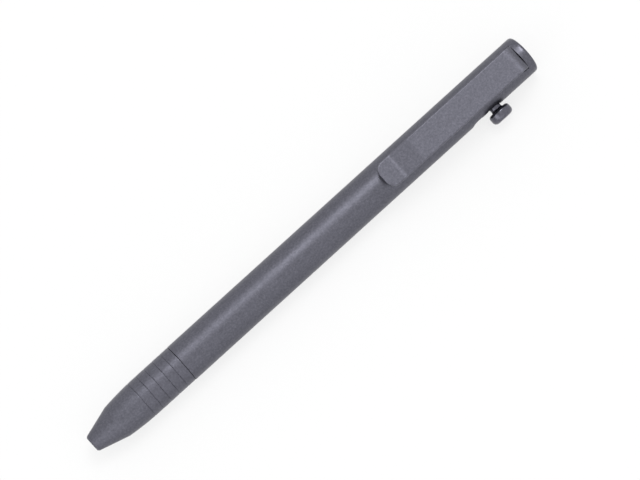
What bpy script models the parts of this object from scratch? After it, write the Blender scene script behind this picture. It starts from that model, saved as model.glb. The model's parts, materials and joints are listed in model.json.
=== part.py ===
"""Bolt action pen: a turned metal pen with a slotted barrel, a side bolt and a strap clip.

The pen lies along X as it comes to rest on a table, on its barrel and on the rim of its
knob, with its nose towards -X. The world's origin is on the table, under the middle of the
pen's box. Every piece is placed in the pen's own frame, before the pen is rolled onto its
knob: X is the station, which is the distance from the nose face along the pen's axis, the
clip is straight up, and the knob points towards -Y.
"""

import math

import bmesh
import bpy
from mathutils import Euler, Matrix, Vector

MM = 0.001
DEGREE = math.pi / 180
FULL_TURN = 2 * math.pi
QUARTER_TURN = math.pi / 2

# Clearances
RUN_CLEARANCE = 0.05 * MM
SEAT_CLEARANCE = 0.05 * MM
RING_CLEARANCE = 0.02 * MM
OVERRUN = 1.0 * MM

# Casing
CAP_LENGTH = 30.3 * MM
BARREL_RADIUS = 5.2 * MM
PEN_BORE_RADIUS = 3.25 * MM
RIM_ROUND = 1.5 * MM
BORE_CHAMFER = 0.1 * MM
SEAM_CHAMFER = 0.15 * MM
SEAM_GAP = 0.06 * MM

# Grip section
GRIP_LENGTH = 28.8 * MM
GRIP_RADIUS = 5.14 * MM
NOSE_FACE_RADIUS = 1.95 * MM
NOSE_CHAMFER = 0.4 * MM
CONE_LENGTH = 7.6 * MM
CONE_TOP_RADIUS = 4.49 * MM
SHOULDER_LENGTH = 10.5 * MM
NOSE_BORE_RADIUS = 1.25 * MM
NOSE_BORE_LENGTH = 3.0 * MM
SPRING_BORE_RADIUS = 2.35 * MM
SPRING_BORE_LENGTH = 8.5 * MM
SPIGOT_RADIUS = 4.15 * MM
SPIGOT_LENGTH = 10.0 * MM
SPIGOT_CHAMFER = 0.3 * MM
SOCKET_RELIEF = 0.4 * MM

# Grip grooves
GROOVE_COUNT = 5
GROOVE_START = 15.75 * MM
GROOVE_PITCH = 2.62 * MM
GROOVE_WIDTH = 0.36 * MM
GROOVE_DEPTH = 0.16 * MM

# Ring at the grip's joint
GRIP_RING_WIRE = 0.6 * MM
GRIP_RING_OFFSET = 1.3 * MM
GRIP_RING_DEPTH = 0.45 * MM
RING_GROOVE_SPARE = 0.2 * MM
RING_MOUTH_LENGTH = 2.2 * MM

# Bolt: knob and carrier
STEM_OFFSET = 15.9 * MM
STEM_RADIUS = 1.5 * MM
STEM_SEAT_RADIUS = 2.9 * MM
STEM_THREAD_RADIUS = 1.0 * MM
STEM_THREAD_LENGTH = 2.3 * MM
STEM_THREAD_SPARE = 0.4 * MM
STEM_THREAD_CHAMFER = 0.25 * MM
KNOB_NECK = 0.8 * MM
KNOB_NECK_FILLET = 0.45 * MM
KNOB_RADIUS = 3.0 * MM
KNOB_THICKNESS = 2.7 * MM
KNOB_INNER_ROUND = 1.2 * MM
KNOB_OUTER_ROUND = 1.15 * MM
CARRIER_TAIL = 3.2 * MM
CARRIER_CHAMFER = 0.3 * MM
CARRIER_WAIST_DEPTH = 0.25 * MM
CARRIER_LAND = 2.6 * MM
CARRIER_RING_WIRE = 0.7 * MM
CARRIER_RING_OFFSETS = (2.4 * MM, 6.4 * MM)
PAD_RADIUS = 2.45 * MM
PAD_THICKNESS = 1.2 * MM
PAD_PROUD = 0.4 * MM
PAD_CHAMFER = 0.2 * MM

# Bolt slot
BOLT_TRAVEL = 5.6 * MM
BOLT_TURN = 29 * DEGREE
SLOT_CLEARANCE = 0.2 * MM
HOOK_DEPTH = 0.4 * MM
SWEEP_RELIEF = 0.01 * MM
SWEEP_OVERLAP = 1.5 * DEGREE

# Clip
CLIP_WIDTH = 7.0 * MM
CLIP_THICKNESS = 1.0 * MM
CLIP_END_ROUND = 2.4 * MM
CLIP_EDGE = 0.22 * MM
CLIP_LIFT = 1.35 * MM
CLIP_CONTACT_GAP = 0.3 * MM
CLIP_LIP_RISE = 0.75 * MM
CLIP_REACH = 47.75 * MM
CLIP_LIP_LENGTH = 4.9 * MM
CLIP_SLOPE_LENGTH = 5.85 * MM
CLIP_ROOT_RUN = 1.58 * MM
CLIP_TAB_INSET = 3.02 * MM
CLIP_TAB_WIDTH = 3.8 * MM
CLIP_TAB_REACH = 2.0 * MM
CLIP_CONTACT_BEND = 2.4 * MM
CLIP_KNEE_BEND = 3.0 * MM
CLIP_ROOT_BEND = 1.3 * MM
CLIP_TAB_BEND = 0.8 * MM
CLIP_SHOULDER_DEPTH = 0.84 * MM
CLIP_ROOT_CLEARANCE = 0.35 * MM
CLIP_SLOT_CLEARANCE = 0.22 * MM

# End plug and its screw
PLUG_RADIUS = 3.35 * MM
PLUG_LENGTH = 9.2 * MM
PLUG_RECESS = 0.3 * MM
PLUG_CHAMFER = 0.2 * MM
PLUG_RELIEF = 0.6 * MM
SPANNER_HOLE_RADIUS = 0.4 * MM
SPANNER_HOLE_REACH = 2.65 * MM
SPANNER_HOLE_DEPTH = 1.2 * MM
SCREW_RADIUS = 1.0 * MM
SCREW_LENGTH = 7.2 * MM
SCREW_HEAD_RADIUS = 1.8 * MM
SCREW_HEAD_EDGE = 0.3 * MM
SCREW_HEAD_CONE = 0.8 * MM
SCREW_TIP_CHAMFER = 0.25 * MM
SCREW_SOCKET_RADIUS = 0.75 * MM
SCREW_SOCKET_DEPTH = 0.7 * MM
SCREW_PASS_CLEARANCE = 0.25 * MM

# Refill
REFILL_SINK = 1.2 * MM
REFILL_LENGTH = 110.5 * MM
TUBE_RADIUS = 3.05 * MM
TUBE_WALL = 0.5 * MM
BALL_RADIUS = 0.35 * MM
BALL_SHOW = 0.24 * MM
BALL_CLEARANCE = 0.02 * MM
CONE_TIP_WALL = 0.08 * MM
REFILL_CONE_RADIUS = 1.15 * MM
REFILL_CONE_TAPER = 2.4 * MM
REFILL_CONE_LENGTH = 14.0 * MM
REFILL_CONE_SHOW = 8.1 * MM
CONE_BORE_RADIUS = 0.42 * MM
CONE_CRIMP_RADIUS = 0.25 * MM
BALL_SEAT_LENGTH = 0.5 * MM
HOLDER_NOSE_RADIUS = 1.75 * MM
HOLDER_NOSE_CHAMFER = 0.4 * MM
HOLDER_NOSE_LENGTH = 8.8 * MM
HOLDER_FLANGE_RADIUS = 2.95 * MM
HOLDER_FLANGE_LENGTH = 1.5 * MM
HOLDER_PLUG_LENGTH = 5.0 * MM
HOLDER_CHANNEL_RADIUS = 0.8 * MM
INK_LENGTH = 57.0 * MM
FOLLOWER_LENGTH = 5.5 * MM
END_PLUG_FLANGE = 0.8 * MM
END_PLUG_REACH = 4.0 * MM
END_PLUG_VENT_RADIUS = 0.5 * MM

# Springs
SPRING_WIRE = 0.4 * MM
SPRING_TURNS = 10
SPRING_END_TURNS = 1
SPRING_END_GAP = 0.1 * MM
BALL_SPRING_WIRE = 0.1 * MM
BALL_SPRING_LENGTH = 4.6 * MM
BALL_SPRING_TURNS = 8
COIL_POINTS_PER_TURN = 10
COIL_STEPS = 1
EDGE_STEPS = 1

# Facets
CASING_SIDES = 48
INNER_SIDES = 32
SMALL_SIDES = 24
RING_SIDES = 6
HEXAGON = 6
BALL_SEGMENTS = 16
ARC_STEPS = 5
SHOULDER_STEPS = 6
BEND_STEPS = 5
MERGE_DISTANCE = 0.0001 * MM
SHARP_ANGLE = 28 * DEGREE

# Stations that follow from the refill and the sizes above
REFILL_END = REFILL_SINK + REFILL_LENGTH
PEN_LENGTH = REFILL_END + CAP_LENGTH
STEM_STATION = REFILL_END + STEM_OFFSET
CLIP_TIP_STATION = PEN_LENGTH - CLIP_REACH
CLIP_CONTACT_STATION = CLIP_TIP_STATION + CLIP_LIP_LENGTH
CLIP_KNEE_STATION = CLIP_CONTACT_STATION + CLIP_SLOPE_LENGTH
CLIP_TAB_STATION = PEN_LENGTH - CLIP_TAB_INSET
CLIP_ROOT_STATION = CLIP_TAB_STATION - CLIP_ROOT_RUN
BARREL_START = GRIP_LENGTH + SEAM_GAP
SPRING_SEAT = NOSE_BORE_LENGTH
SPRING_BORE_END = SPRING_SEAT + SPRING_BORE_LENGTH
SPIGOT_END = GRIP_LENGTH + SPIGOT_LENGTH
PLUG_END = PEN_LENGTH - PLUG_RECESS
PLUG_START = PLUG_END - PLUG_LENGTH
PAD_START = REFILL_END + SEAT_CLEARANCE
CARRIER_START = PAD_START + PAD_PROUD
CARRIER_END = STEM_STATION + CARRIER_TAIL
HOLDER_START = REFILL_SINK + REFILL_CONE_SHOW
HOLDER_SHOULDER = HOLDER_START + HOLDER_NOSE_LENGTH
TUBE_START = HOLDER_SHOULDER + HOLDER_FLANGE_LENGTH + SEAT_CLEARANCE
TUBE_END = REFILL_END - END_PLUG_FLANGE - SEAT_CLEARANCE
HOLDER_END = TUBE_START + HOLDER_PLUG_LENGTH
TUBE_BORE_RADIUS = TUBE_RADIUS - TUBE_WALL
INSIDE_TUBE_RADIUS = TUBE_BORE_RADIUS - RUN_CLEARANCE
CONE_START = REFILL_SINK + BALL_SHOW
BALL_STATION = REFILL_SINK + BALL_RADIUS
CONE_SEAT_END = BALL_STATION + BALL_SEAT_LENGTH

# Radii and widths that follow
CARRIER_RADIUS = PEN_BORE_RADIUS - RUN_CLEARANCE
CARRIER_RING_RADIUS = PEN_BORE_RADIUS - RING_CLEARANCE - CARRIER_RING_WIRE / 2
CARRIER_GROOVE_RADIUS = CARRIER_RING_RADIUS - CARRIER_RING_WIRE / 2 - RING_CLEARANCE
GRIP_GROOVE_RADIUS = SPIGOT_RADIUS - GRIP_RING_DEPTH
GRIP_RING_RADIUS = GRIP_GROOVE_RADIUS + RING_CLEARANCE + GRIP_RING_WIRE / 2
RING_MOUTH_RADIUS = GRIP_RING_RADIUS + GRIP_RING_WIRE / 2 + RING_CLEARANCE
KNOB_UNDERSIDE = BARREL_RADIUS + KNOB_NECK
KNOB_REACH = KNOB_UNDERSIDE + KNOB_THICKNESS
SLOT_WIDTH = 2 * (STEM_RADIUS + SLOT_CLEARANCE)
LOCK_STATION = STEM_STATION - BOLT_TRAVEL
CLIP_CONTACT_HEIGHT = BARREL_RADIUS + CLIP_CONTACT_GAP + CLIP_THICKNESS / 2
CLIP_STRAP_HEIGHT = BARREL_RADIUS + CLIP_LIFT + CLIP_THICKNESS / 2
CLIP_TIP_HEIGHT = CLIP_CONTACT_HEIGHT + CLIP_LIP_RISE
CLIP_SHOULDER_HEIGHT = math.sqrt(BARREL_RADIUS ** 2 - (CLIP_WIDTH / 2) ** 2)
CLIP_SLOT_LENGTH = CLIP_THICKNESS + 2 * CLIP_SLOT_CLEARANCE

# The roll that brings the knob's rim down to the table
RIM_REACH = KNOB_REACH - KNOB_OUTER_ROUND
RIM_RADIUS = KNOB_RADIUS - KNOB_OUTER_ROUND
RIM_DROP = BARREL_RADIUS - KNOB_OUTER_ROUND
RIM_ANGLE = math.atan2(RIM_RADIUS, RIM_REACH)
REST_ROLL = math.asin(RIM_DROP / math.hypot(RIM_REACH, RIM_RADIUS)) - RIM_ANGLE
KNOB_SIDE = RIM_REACH * math.cos(REST_ROLL) + RIM_RADIUS * math.sin(REST_ROLL) + KNOB_OUTER_ROUND

# The pen's axis, so that the box of the pen is centred over the origin
AXIS_PLACE = Vector((-PEN_LENGTH / 2, (KNOB_SIDE - BARREL_RADIUS) / 2, BARREL_RADIUS))
ALONG_PEN = Euler((0, QUARTER_TURN, 0))
OUT_OF_SLOT = Euler((QUARTER_TURN, 0, 0))
UPRIGHT = Euler((QUARTER_TURN, 0, 0))
ACROSS_PEN = Euler((QUARTER_TURN, 0, QUARTER_TURN))
FLAT = Euler((0, 0, 0))

TITANIUM = {"colour": (0.135, 0.135, 0.155), "roughness": 0.42, "metallic": 1.0}
STEEL = {"colour": (0.58, 0.58, 0.58), "roughness": 0.3, "metallic": 1.0}
BLACK_RUBBER = {"colour": (0.02, 0.02, 0.02), "roughness": 0.7, "metallic": 0.0}
WHITE_PLASTIC = {"colour": (0.8, 0.8, 0.78), "roughness": 0.4, "metallic": 0.0}
CLEAR_PLASTIC = {"colour": (0.62, 0.66, 0.68), "roughness": 0.25, "metallic": 0.0}
BLACK_INK = {"colour": (0.01, 0.01, 0.015), "roughness": 0.2, "metallic": 0.0}
AMBER_GREASE = {"colour": (0.55, 0.42, 0.2), "roughness": 0.3, "metallic": 0.0}
NICKEL_SILVER = {"colour": (0.66, 0.62, 0.54), "roughness": 0.25, "metallic": 1.0}


def clear_scene():
    """Remove every object, so that the pen is built in an empty scene."""
    for leftover in list(bpy.data.objects):
        bpy.data.objects.remove(leftover, do_unlink=True)


def make_collection(name):
    """Add a collection to the scene."""
    collection = bpy.data.collections.new(name)
    bpy.context.scene.collection.children.link(collection)
    return collection


def make_material(name, finish):
    """Make one piece's own material from a finish."""
    material = bpy.data.materials.new(name)
    material.use_nodes = True
    shader = material.node_tree.nodes["Principled BSDF"]
    shader.inputs["Base Color"].default_value = (*finish["colour"], 1)
    shader.inputs["Roughness"].default_value = finish["roughness"]
    shader.inputs["Metallic"].default_value = finish["metallic"]
    return material


def station_of(carrier):
    """Give the station of a carrier, which is zero for the pen's own empty."""
    station = Vector((0, 0, 0))
    while carrier.parent is not None:
        station += carrier.location
        carrier = carrier.parent
    return station


def hang(piece, carrier, station):
    """Hang a piece on its carrier, with the piece's origin at a station."""
    piece.parent = carrier
    piece.location = Vector(station) - station_of(carrier)


def make_carrier(name, parent, station):
    """Add an empty on a joint's axis, for the pieces that move together."""
    carrier = bpy.data.objects.new(name, None)
    carrier.empty_display_size = BARREL_RADIUS
    parts.objects.link(carrier)
    if parent is None:
        carrier.location = station
    else:
        hang(carrier, parent, station)
    return carrier


def finish_piece(piece, carrier, station, finish):
    """Hang a finished piece on its carrier and give it its material."""
    hang(piece, carrier, station)
    piece.data.materials.clear()
    piece.data.materials.append(make_material(piece.name, finish))


def as_mesh(source, name, collection):
    """Make a mesh object from what an object looks like with its modifiers, and remove it."""
    depsgraph = bpy.context.evaluated_depsgraph_get()
    mesh = bpy.data.meshes.new_from_object(source.evaluated_get(depsgraph))
    mesh.name = name
    shape = bmesh.new()
    shape.from_mesh(mesh)
    bmesh.ops.remove_doubles(shape, verts=shape.verts, dist=MERGE_DISTANCE)
    shape.to_mesh(mesh)
    shape.free()
    bpy.data.objects.remove(source, do_unlink=True)
    piece = bpy.data.objects.new(name, mesh)
    collection.objects.link(piece)
    return piece


def turned(name, outline, sides, closed=True):
    """Turn an outline of (radius, station) points about the pen's axis.

    The outline runs down its outer side from the cap end to the nose. A closed one comes
    back along its bore, and an open one starts and ends on the axis. The piece's origin is
    on the axis at its lowest station.
    """
    start = min(station for radius, station in outline)
    mesh = bpy.data.meshes.new(name)
    points = [(radius, 0, station - start) for radius, station in outline]
    edges = [(index, index + 1) for index in range(len(points) - 1)]
    if closed:
        edges.append((len(points) - 1, 0))
    mesh.from_pydata(points, edges, [])
    blank = bpy.data.objects.new(name, mesh)
    parts.objects.link(blank)
    screw = blank.modifiers.new("Turn", "SCREW")
    screw.axis = "Z"
    screw.angle = FULL_TURN
    screw.steps = sides
    screw.render_steps = sides
    screw.use_merge_vertices = True
    screw.merge_threshold = MERGE_DISTANCE
    bpy.context.view_layer.update()
    piece = as_mesh(blank, name, parts)
    piece.data.shade_smooth()
    piece.data.set_sharp_from_angle(angle=SHARP_ANGLE)
    piece.rotation_euler = ALONG_PEN
    return piece, start


def flat_outline(name, points, thickness, collection, edge=0):
    """Fill a flat closed outline, give it a thickness about its plane and round its edges."""
    curve = bpy.data.curves.new(name, "CURVE")
    curve.dimensions = "2D"
    curve.fill_mode = "BOTH"
    curve.extrude = thickness / 2 - edge
    curve.bevel_depth = edge
    curve.bevel_resolution = EDGE_STEPS
    curve.offset = -edge
    spline = curve.splines.new("POLY")
    spline.points.add(len(points) - 1)
    for point, (across, up) in zip(spline.points, points):
        point.co = (across, up, 0, 1)
    spline.use_cyclic_u = True
    blank = bpy.data.objects.new(name, curve)
    collection.objects.link(blank)
    bpy.context.view_layer.update()
    return as_mesh(blank, name, collection)


def coil(name, points, wire):
    """Make a round wire along points, with closed ends."""
    curve = bpy.data.curves.new(name, "CURVE")
    curve.dimensions = "3D"
    curve.bevel_depth = wire / 2
    curve.bevel_resolution = COIL_STEPS
    curve.use_fill_caps = True
    spline = curve.splines.new("POLY")
    spline.points.add(len(points) - 1)
    for point, place in zip(spline.points, points):
        point.co = (*place, 1)
    piece = bpy.data.objects.new(name, curve)
    parts.objects.link(piece)
    return piece


def arc(centre, radius, start, end, steps):
    """Give the points of an arc from one angle to another."""
    angles = [start + (end - start) * step / steps for step in range(steps + 1)]
    return [
        (centre[0] + radius * math.cos(angle), centre[1] + radius * math.sin(angle))
        for angle in angles
    ]


def box(name, size, centre, carrier):
    """Make a cutter box of a size about a station."""
    bpy.ops.mesh.primitive_cube_add(size=1)
    cutter = bpy.context.object
    cutter.name = name
    cutter.scale = size
    bpy.ops.object.transform_apply(location=False, rotation=False, scale=True)
    return store_cutter(cutter, carrier, centre, FLAT)


def drill(name, radius, depth, sides, carrier, centre, turn):
    """Make a cutter cylinder of a depth about a station, with its axis turned as asked."""
    bpy.ops.mesh.primitive_cylinder_add(vertices=sides, radius=radius, depth=depth)
    cutter = bpy.context.object
    cutter.name = name
    return store_cutter(cutter, carrier, centre, turn)


def store_cutter(cutter, carrier, station, turn):
    """Keep a cutter among the cutters, out of renders."""
    for owner in list(cutter.users_collection):
        owner.objects.unlink(cutter)
    cutters.objects.link(cutter)
    cutter.rotation_euler = turn
    cutter.hide_render = True
    cutter.display_type = "WIRE"
    hang(cutter, carrier, station)
    return cutter


def cut(piece, cutter, operation="DIFFERENCE"):
    """Cut a piece with a cutter, or keep only what the cutter covers."""
    boolean = piece.modifiers.new(cutter.name, "BOOLEAN")
    boolean.solver = "EXACT"
    boolean.operation = operation
    boolean.object = cutter


def ring(name, radius, wire, carrier, station):
    """Make a round rubber ring about the pen's axis."""
    bpy.ops.mesh.primitive_torus_add(
        major_segments=INNER_SIDES,
        minor_segments=RING_SIDES,
        major_radius=radius,
        minor_radius=wire / 2,
    )
    piece = bpy.context.object
    piece.name = name
    for owner in list(piece.users_collection):
        owner.objects.unlink(piece)
    parts.objects.link(piece)
    piece.data.shade_smooth()
    piece.rotation_euler = ALONG_PEN
    finish_piece(piece, carrier, (station, 0, 0), BLACK_RUBBER)


def ring_groove(station, wire, floor_radius, land_radius):
    """Give the outline of a ring's groove, from its cap side to its nose side."""
    reach = wire / 2 + RING_GROOVE_SPARE / 2
    return [
        (land_radius, station + reach),
        (floor_radius, station + reach),
        (floor_radius, station - reach),
        (land_radius, station - reach),
    ]


def shoulder_radius(station):
    """Give the grip's radius on its rounded shoulder, which flattens out into the grip."""
    share = min((station - CONE_LENGTH) / SHOULDER_LENGTH, 1)
    return GRIP_RADIUS - (GRIP_RADIUS - CONE_TOP_RADIUS) * (1 - share) ** 2


def grip_grooves():
    """Give the outline of the V grooves, from the cap side to the nose side."""
    points = []
    for index in reversed(range(GROOVE_COUNT)):
        station = GROOVE_START + index * GROOVE_PITCH
        for offset, depth in ((GROOVE_WIDTH / 2, 0), (0, GROOVE_DEPTH), (-GROOVE_WIDTH / 2, 0)):
            points.append((shoulder_radius(station + offset) - depth, station + offset))
    return points


def grip_shoulder():
    """Give the outline of the rounded shoulder below the grooves, down to the cone."""
    top = min(GROOVE_START - GROOVE_WIDTH, CONE_LENGTH + SHOULDER_LENGTH)
    stations = [
        CONE_LENGTH + (top - CONE_LENGTH) * step / SHOULDER_STEPS
        for step in reversed(range(SHOULDER_STEPS + 1))
    ]
    return [(shoulder_radius(station), station) for station in stations]


def build_grip_section(pen):
    """Turn the screwed front section, with its cone, grooves, spigot and stepped bore."""
    outline = [
        (SPIGOT_RADIUS - SPIGOT_CHAMFER, SPIGOT_END),
        (SPIGOT_RADIUS, SPIGOT_END - SPIGOT_CHAMFER),
        *ring_groove(
            GRIP_LENGTH + GRIP_RING_OFFSET, GRIP_RING_WIRE, GRIP_GROOVE_RADIUS, SPIGOT_RADIUS
        ),
        (SPIGOT_RADIUS, GRIP_LENGTH),
        (GRIP_RADIUS - SEAM_CHAMFER, GRIP_LENGTH),
        (GRIP_RADIUS, GRIP_LENGTH - SEAM_CHAMFER),
        *grip_grooves(),
        *grip_shoulder(),
        (NOSE_FACE_RADIUS + NOSE_CHAMFER, NOSE_CHAMFER),
        (NOSE_FACE_RADIUS, 0),
        (NOSE_BORE_RADIUS + BORE_CHAMFER, 0),
        (NOSE_BORE_RADIUS, BORE_CHAMFER),
        (NOSE_BORE_RADIUS, SPRING_SEAT),
        (SPRING_BORE_RADIUS, SPRING_SEAT),
        (SPRING_BORE_RADIUS, SPRING_BORE_END),
        (PEN_BORE_RADIUS, SPRING_BORE_END + PEN_BORE_RADIUS - SPRING_BORE_RADIUS),
        (PEN_BORE_RADIUS, SPIGOT_END),
    ]
    piece, start = turned("grip_section", outline, CASING_SIDES)
    finish_piece(piece, pen, (start, 0, 0), TITANIUM)


def build_barrel(pen):
    """Turn the barrel, then mill its bolt slot and its clip slot.

    Rings of edges beside the slots keep the barrel's long faces clear of their cuts.
    """
    socket_radius = SPIGOT_RADIUS + RUN_CLEARANCE
    socket_end = SPIGOT_END + SOCKET_RELIEF
    mouth_end = BARREL_START + RING_MOUTH_LENGTH
    plug_bore_radius = PLUG_RADIUS + RUN_CLEARANCE
    plug_bore_start = PLUG_START - PLUG_RELIEF
    rim = arc(
        (BARREL_RADIUS - RIM_ROUND, PEN_LENGTH - RIM_ROUND), RIM_ROUND, QUARTER_TURN, 0, ARC_STEPS
    )
    slot_guards = (
        CLIP_TAB_STATION + CLIP_SLOT_LENGTH,
        CLIP_TAB_STATION - CLIP_SLOT_LENGTH,
        STEM_STATION + SLOT_WIDTH,
        LOCK_STATION - SLOT_WIDTH,
    )
    outline = [
        *rim,
        *((BARREL_RADIUS, station) for station in slot_guards),
        (BARREL_RADIUS, BARREL_START + SEAM_CHAMFER),
        (BARREL_RADIUS - SEAM_CHAMFER, BARREL_START),
        (RING_MOUTH_RADIUS, BARREL_START),
        (RING_MOUTH_RADIUS, mouth_end),
        (socket_radius, mouth_end + RING_MOUTH_RADIUS - socket_radius),
        (socket_radius, socket_end),
        (PEN_BORE_RADIUS, socket_end + socket_radius - PEN_BORE_RADIUS),
        (PEN_BORE_RADIUS, plug_bore_start),
        (plug_bore_radius, plug_bore_start + plug_bore_radius - PEN_BORE_RADIUS),
        (plug_bore_radius, PEN_LENGTH - BORE_CHAMFER),
        (plug_bore_radius + BORE_CHAMFER, PEN_LENGTH),
    ]
    piece, start = turned("barrel", outline, CASING_SIDES)
    finish_piece(piece, pen, (start, 0, 0), TITANIUM)
    for cutter in bolt_slot_cutters(pen):
        cut(piece, cutter)
    cut(piece, clip_slot_cutter(pen))


def milled_run(name, pen, first, last, angle):
    """Make the cut of an end mill that points at the axis and runs between two stations.

    The angle is measured about the pen's axis, from the knob's side towards the underside.
    """
    radius = SLOT_WIDTH / 2
    outline = [
        *arc((0, 0), radius, QUARTER_TURN, 3 * QUARTER_TURN, 2 * ARC_STEPS),
        *arc((last - first, 0), radius, -QUARTER_TURN, QUARTER_TURN, 2 * ARC_STEPS),
    ]
    depth = BARREL_RADIUS + OVERRUN
    cutter = flat_outline(name, outline, depth, cutters)
    middle = depth / 2
    place = (first, -middle * math.cos(angle), -middle * math.sin(angle))
    return store_cutter(cutter, pen, place, Euler((QUARTER_TURN + angle, 0, 0)))


def milled_hole(name, pen, station, angle):
    """Make the cut of an end mill that points at the axis and stays at one station."""
    depth = BARREL_RADIUS + OVERRUN
    middle = depth / 2
    place = (station, -middle * math.cos(angle), -middle * math.sin(angle))
    turn = Euler((QUARTER_TURN + angle, 0, 0))
    return drill(name, SLOT_WIDTH / 2, depth, 4 * ARC_STEPS, pen, place, turn)


def milled_sector(name, pen, station):
    """Make the cut of an end mill while the barrel turns under it by the bolt's turn.

    It overlaps the mill's own cuts at both ends and stays a hair inside their width.
    """
    reach = BARREL_RADIUS + OVERRUN
    start = 2 * QUARTER_TURN - SWEEP_OVERLAP
    end = 2 * QUARTER_TURN + BOLT_TURN + SWEEP_OVERLAP
    outline = [(0, 0), *arc((0, 0), reach, start, end, ARC_STEPS)]
    cutter = flat_outline(name, outline, SLOT_WIDTH - 2 * SWEEP_RELIEF, cutters)
    return store_cutter(cutter, pen, (station, 0, 0), ACROSS_PEN)


def bolt_slot_cutters(pen):
    """Give the cuts of the bolt's slot: the straight run, two side notches and the hook."""
    return [
        milled_run("straight_run_cut", pen, LOCK_STATION, STEM_STATION, 0),
        milled_sector("lock_notch_cut", pen, LOCK_STATION),
        milled_run("lock_hook_cut", pen, LOCK_STATION, LOCK_STATION + HOOK_DEPTH, BOLT_TURN),
        milled_sector("rest_notch_cut", pen, STEM_STATION),
        milled_hole("rest_notch_end_cut", pen, STEM_STATION, BOLT_TURN),
    ]


def clip_slot_cutter(pen):
    """Give the cut across the barrel's wall that the clip's tab goes down through."""
    width = CLIP_WIDTH + 2 * CLIP_SLOT_CLEARANCE
    low = CLIP_SHOULDER_HEIGHT - CLIP_SHOULDER_DEPTH - CLIP_SLOT_CLEARANCE
    high = BARREL_RADIUS + OVERRUN
    size = (CLIP_SLOT_LENGTH, width, high - low)
    return box("clip_slot_cut", size, (CLIP_TAB_STATION, 0, (low + high) / 2), pen)


def bent_path(corners, radii):
    """Round the inner corners of a path of straight runs with arcs of the given radii."""
    path = [Vector(corners[0])]
    for before, corner, after, radius in zip(corners, corners[1:], corners[2:], radii):
        corner = Vector(corner)
        back = (Vector(before) - corner).normalized()
        ahead = (Vector(after) - corner).normalized()
        half_angle = back.angle(ahead) / 2
        centre = corner + (back + ahead).normalized() * radius / math.sin(half_angle)
        first = corner + back * radius / math.tan(half_angle) - centre
        sweep = first.angle_signed(corner + ahead * radius / math.tan(half_angle) - centre)
        for step in range(BEND_STEPS + 1):
            turned_arm = first.copy()
            turned_arm.rotate(Matrix.Rotation(-sweep * step / BEND_STEPS, 2))
            path.append(centre + turned_arm)
    path.append(Vector(corners[-1]))
    return path


def thickened(path, thickness):
    """Give the closed outline of a strap of one thickness along a path."""
    upper = []
    lower = []
    for index, point in enumerate(path):
        before = path[max(index - 1, 0)]
        after = path[min(index + 1, len(path) - 1)]
        run = (after - before).normalized()
        side = Vector((-run.y, run.x)) * thickness / 2
        upper.append(point + side)
        lower.append(point - side)
    return [tuple(point) for point in upper + lower[::-1]]


def build_clip(clip_carrier):
    """Build the strap clip from its side outline, trimmed to its plan and drilled."""
    corners = [
        (CLIP_TIP_STATION, CLIP_TIP_HEIGHT),
        (CLIP_CONTACT_STATION, CLIP_CONTACT_HEIGHT),
        (CLIP_KNEE_STATION, CLIP_STRAP_HEIGHT),
        (CLIP_ROOT_STATION, CLIP_STRAP_HEIGHT),
        (CLIP_TAB_STATION, BARREL_RADIUS + CLIP_ROOT_CLEARANCE),
        (CLIP_TAB_STATION, -CLIP_TAB_REACH),
    ]
    radii = [CLIP_CONTACT_BEND, CLIP_KNEE_BEND, CLIP_ROOT_BEND, CLIP_TAB_BEND]
    outline = thickened(bent_path(corners, radii), CLIP_THICKNESS)
    piece = flat_outline("clip", outline, CLIP_WIDTH, parts, CLIP_EDGE)
    piece.rotation_euler = UPRIGHT
    finish_piece(piece, clip_carrier, (0, 0, 0), TITANIUM)
    cut(piece, clip_plan_cutter(clip_carrier), "INTERSECT")
    for side in (-1, 1):
        cut(piece, clip_tab_side_cutter(clip_carrier, side))
    cut(piece, clip_hole_cutter(clip_carrier))


def clip_plan_cutter(clip_carrier):
    """Give the clip's plan: a strap with rounded corners at its free end."""
    half = CLIP_WIDTH / 2 + OVERRUN
    inset = CLIP_WIDTH / 2 - CLIP_END_ROUND
    low = CLIP_TIP_STATION + CLIP_END_ROUND
    high = PEN_LENGTH
    outline = [
        *arc((low, inset), CLIP_END_ROUND, QUARTER_TURN, 2 * QUARTER_TURN, ARC_STEPS),
        *arc((low, -inset), CLIP_END_ROUND, 2 * QUARTER_TURN, 3 * QUARTER_TURN, ARC_STEPS),
        (low, -half),
        (high, -half),
        (high, half),
        (low, half),
    ]
    cutter = flat_outline("clip_plan", outline, 4 * BARREL_RADIUS, cutters)
    return store_cutter(cutter, clip_carrier, (0, 0, 0), FLAT)


def clip_tab_side_cutter(clip_carrier, side):
    """Give the cut that narrows the clip's tab on one side, inside the barrel."""
    width = (CLIP_WIDTH - CLIP_TAB_WIDTH) / 2
    low = -CLIP_TAB_REACH - OVERRUN
    high = CLIP_SHOULDER_HEIGHT - CLIP_SHOULDER_DEPTH
    size = (CLIP_THICKNESS + 2 * OVERRUN, width + OVERRUN, high - low)
    centre = (
        CLIP_TAB_STATION,
        side * (CLIP_TAB_WIDTH + width + OVERRUN) / 2,
        (low + high) / 2,
    )
    name = "tab_left_cut" if side > 0 else "tab_right_cut"
    return box(name, size, centre, clip_carrier)


def clip_hole_cutter(clip_carrier):
    """Give the hole in the clip's tab that its screw passes through."""
    radius = SCREW_RADIUS + SCREW_PASS_CLEARANCE
    depth = CLIP_THICKNESS + 2 * OVERRUN
    place = (CLIP_TAB_STATION, 0, 0)
    return drill("tab_hole_cut", radius, depth, SMALL_SIDES, clip_carrier, place, ALONG_PEN)


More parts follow.
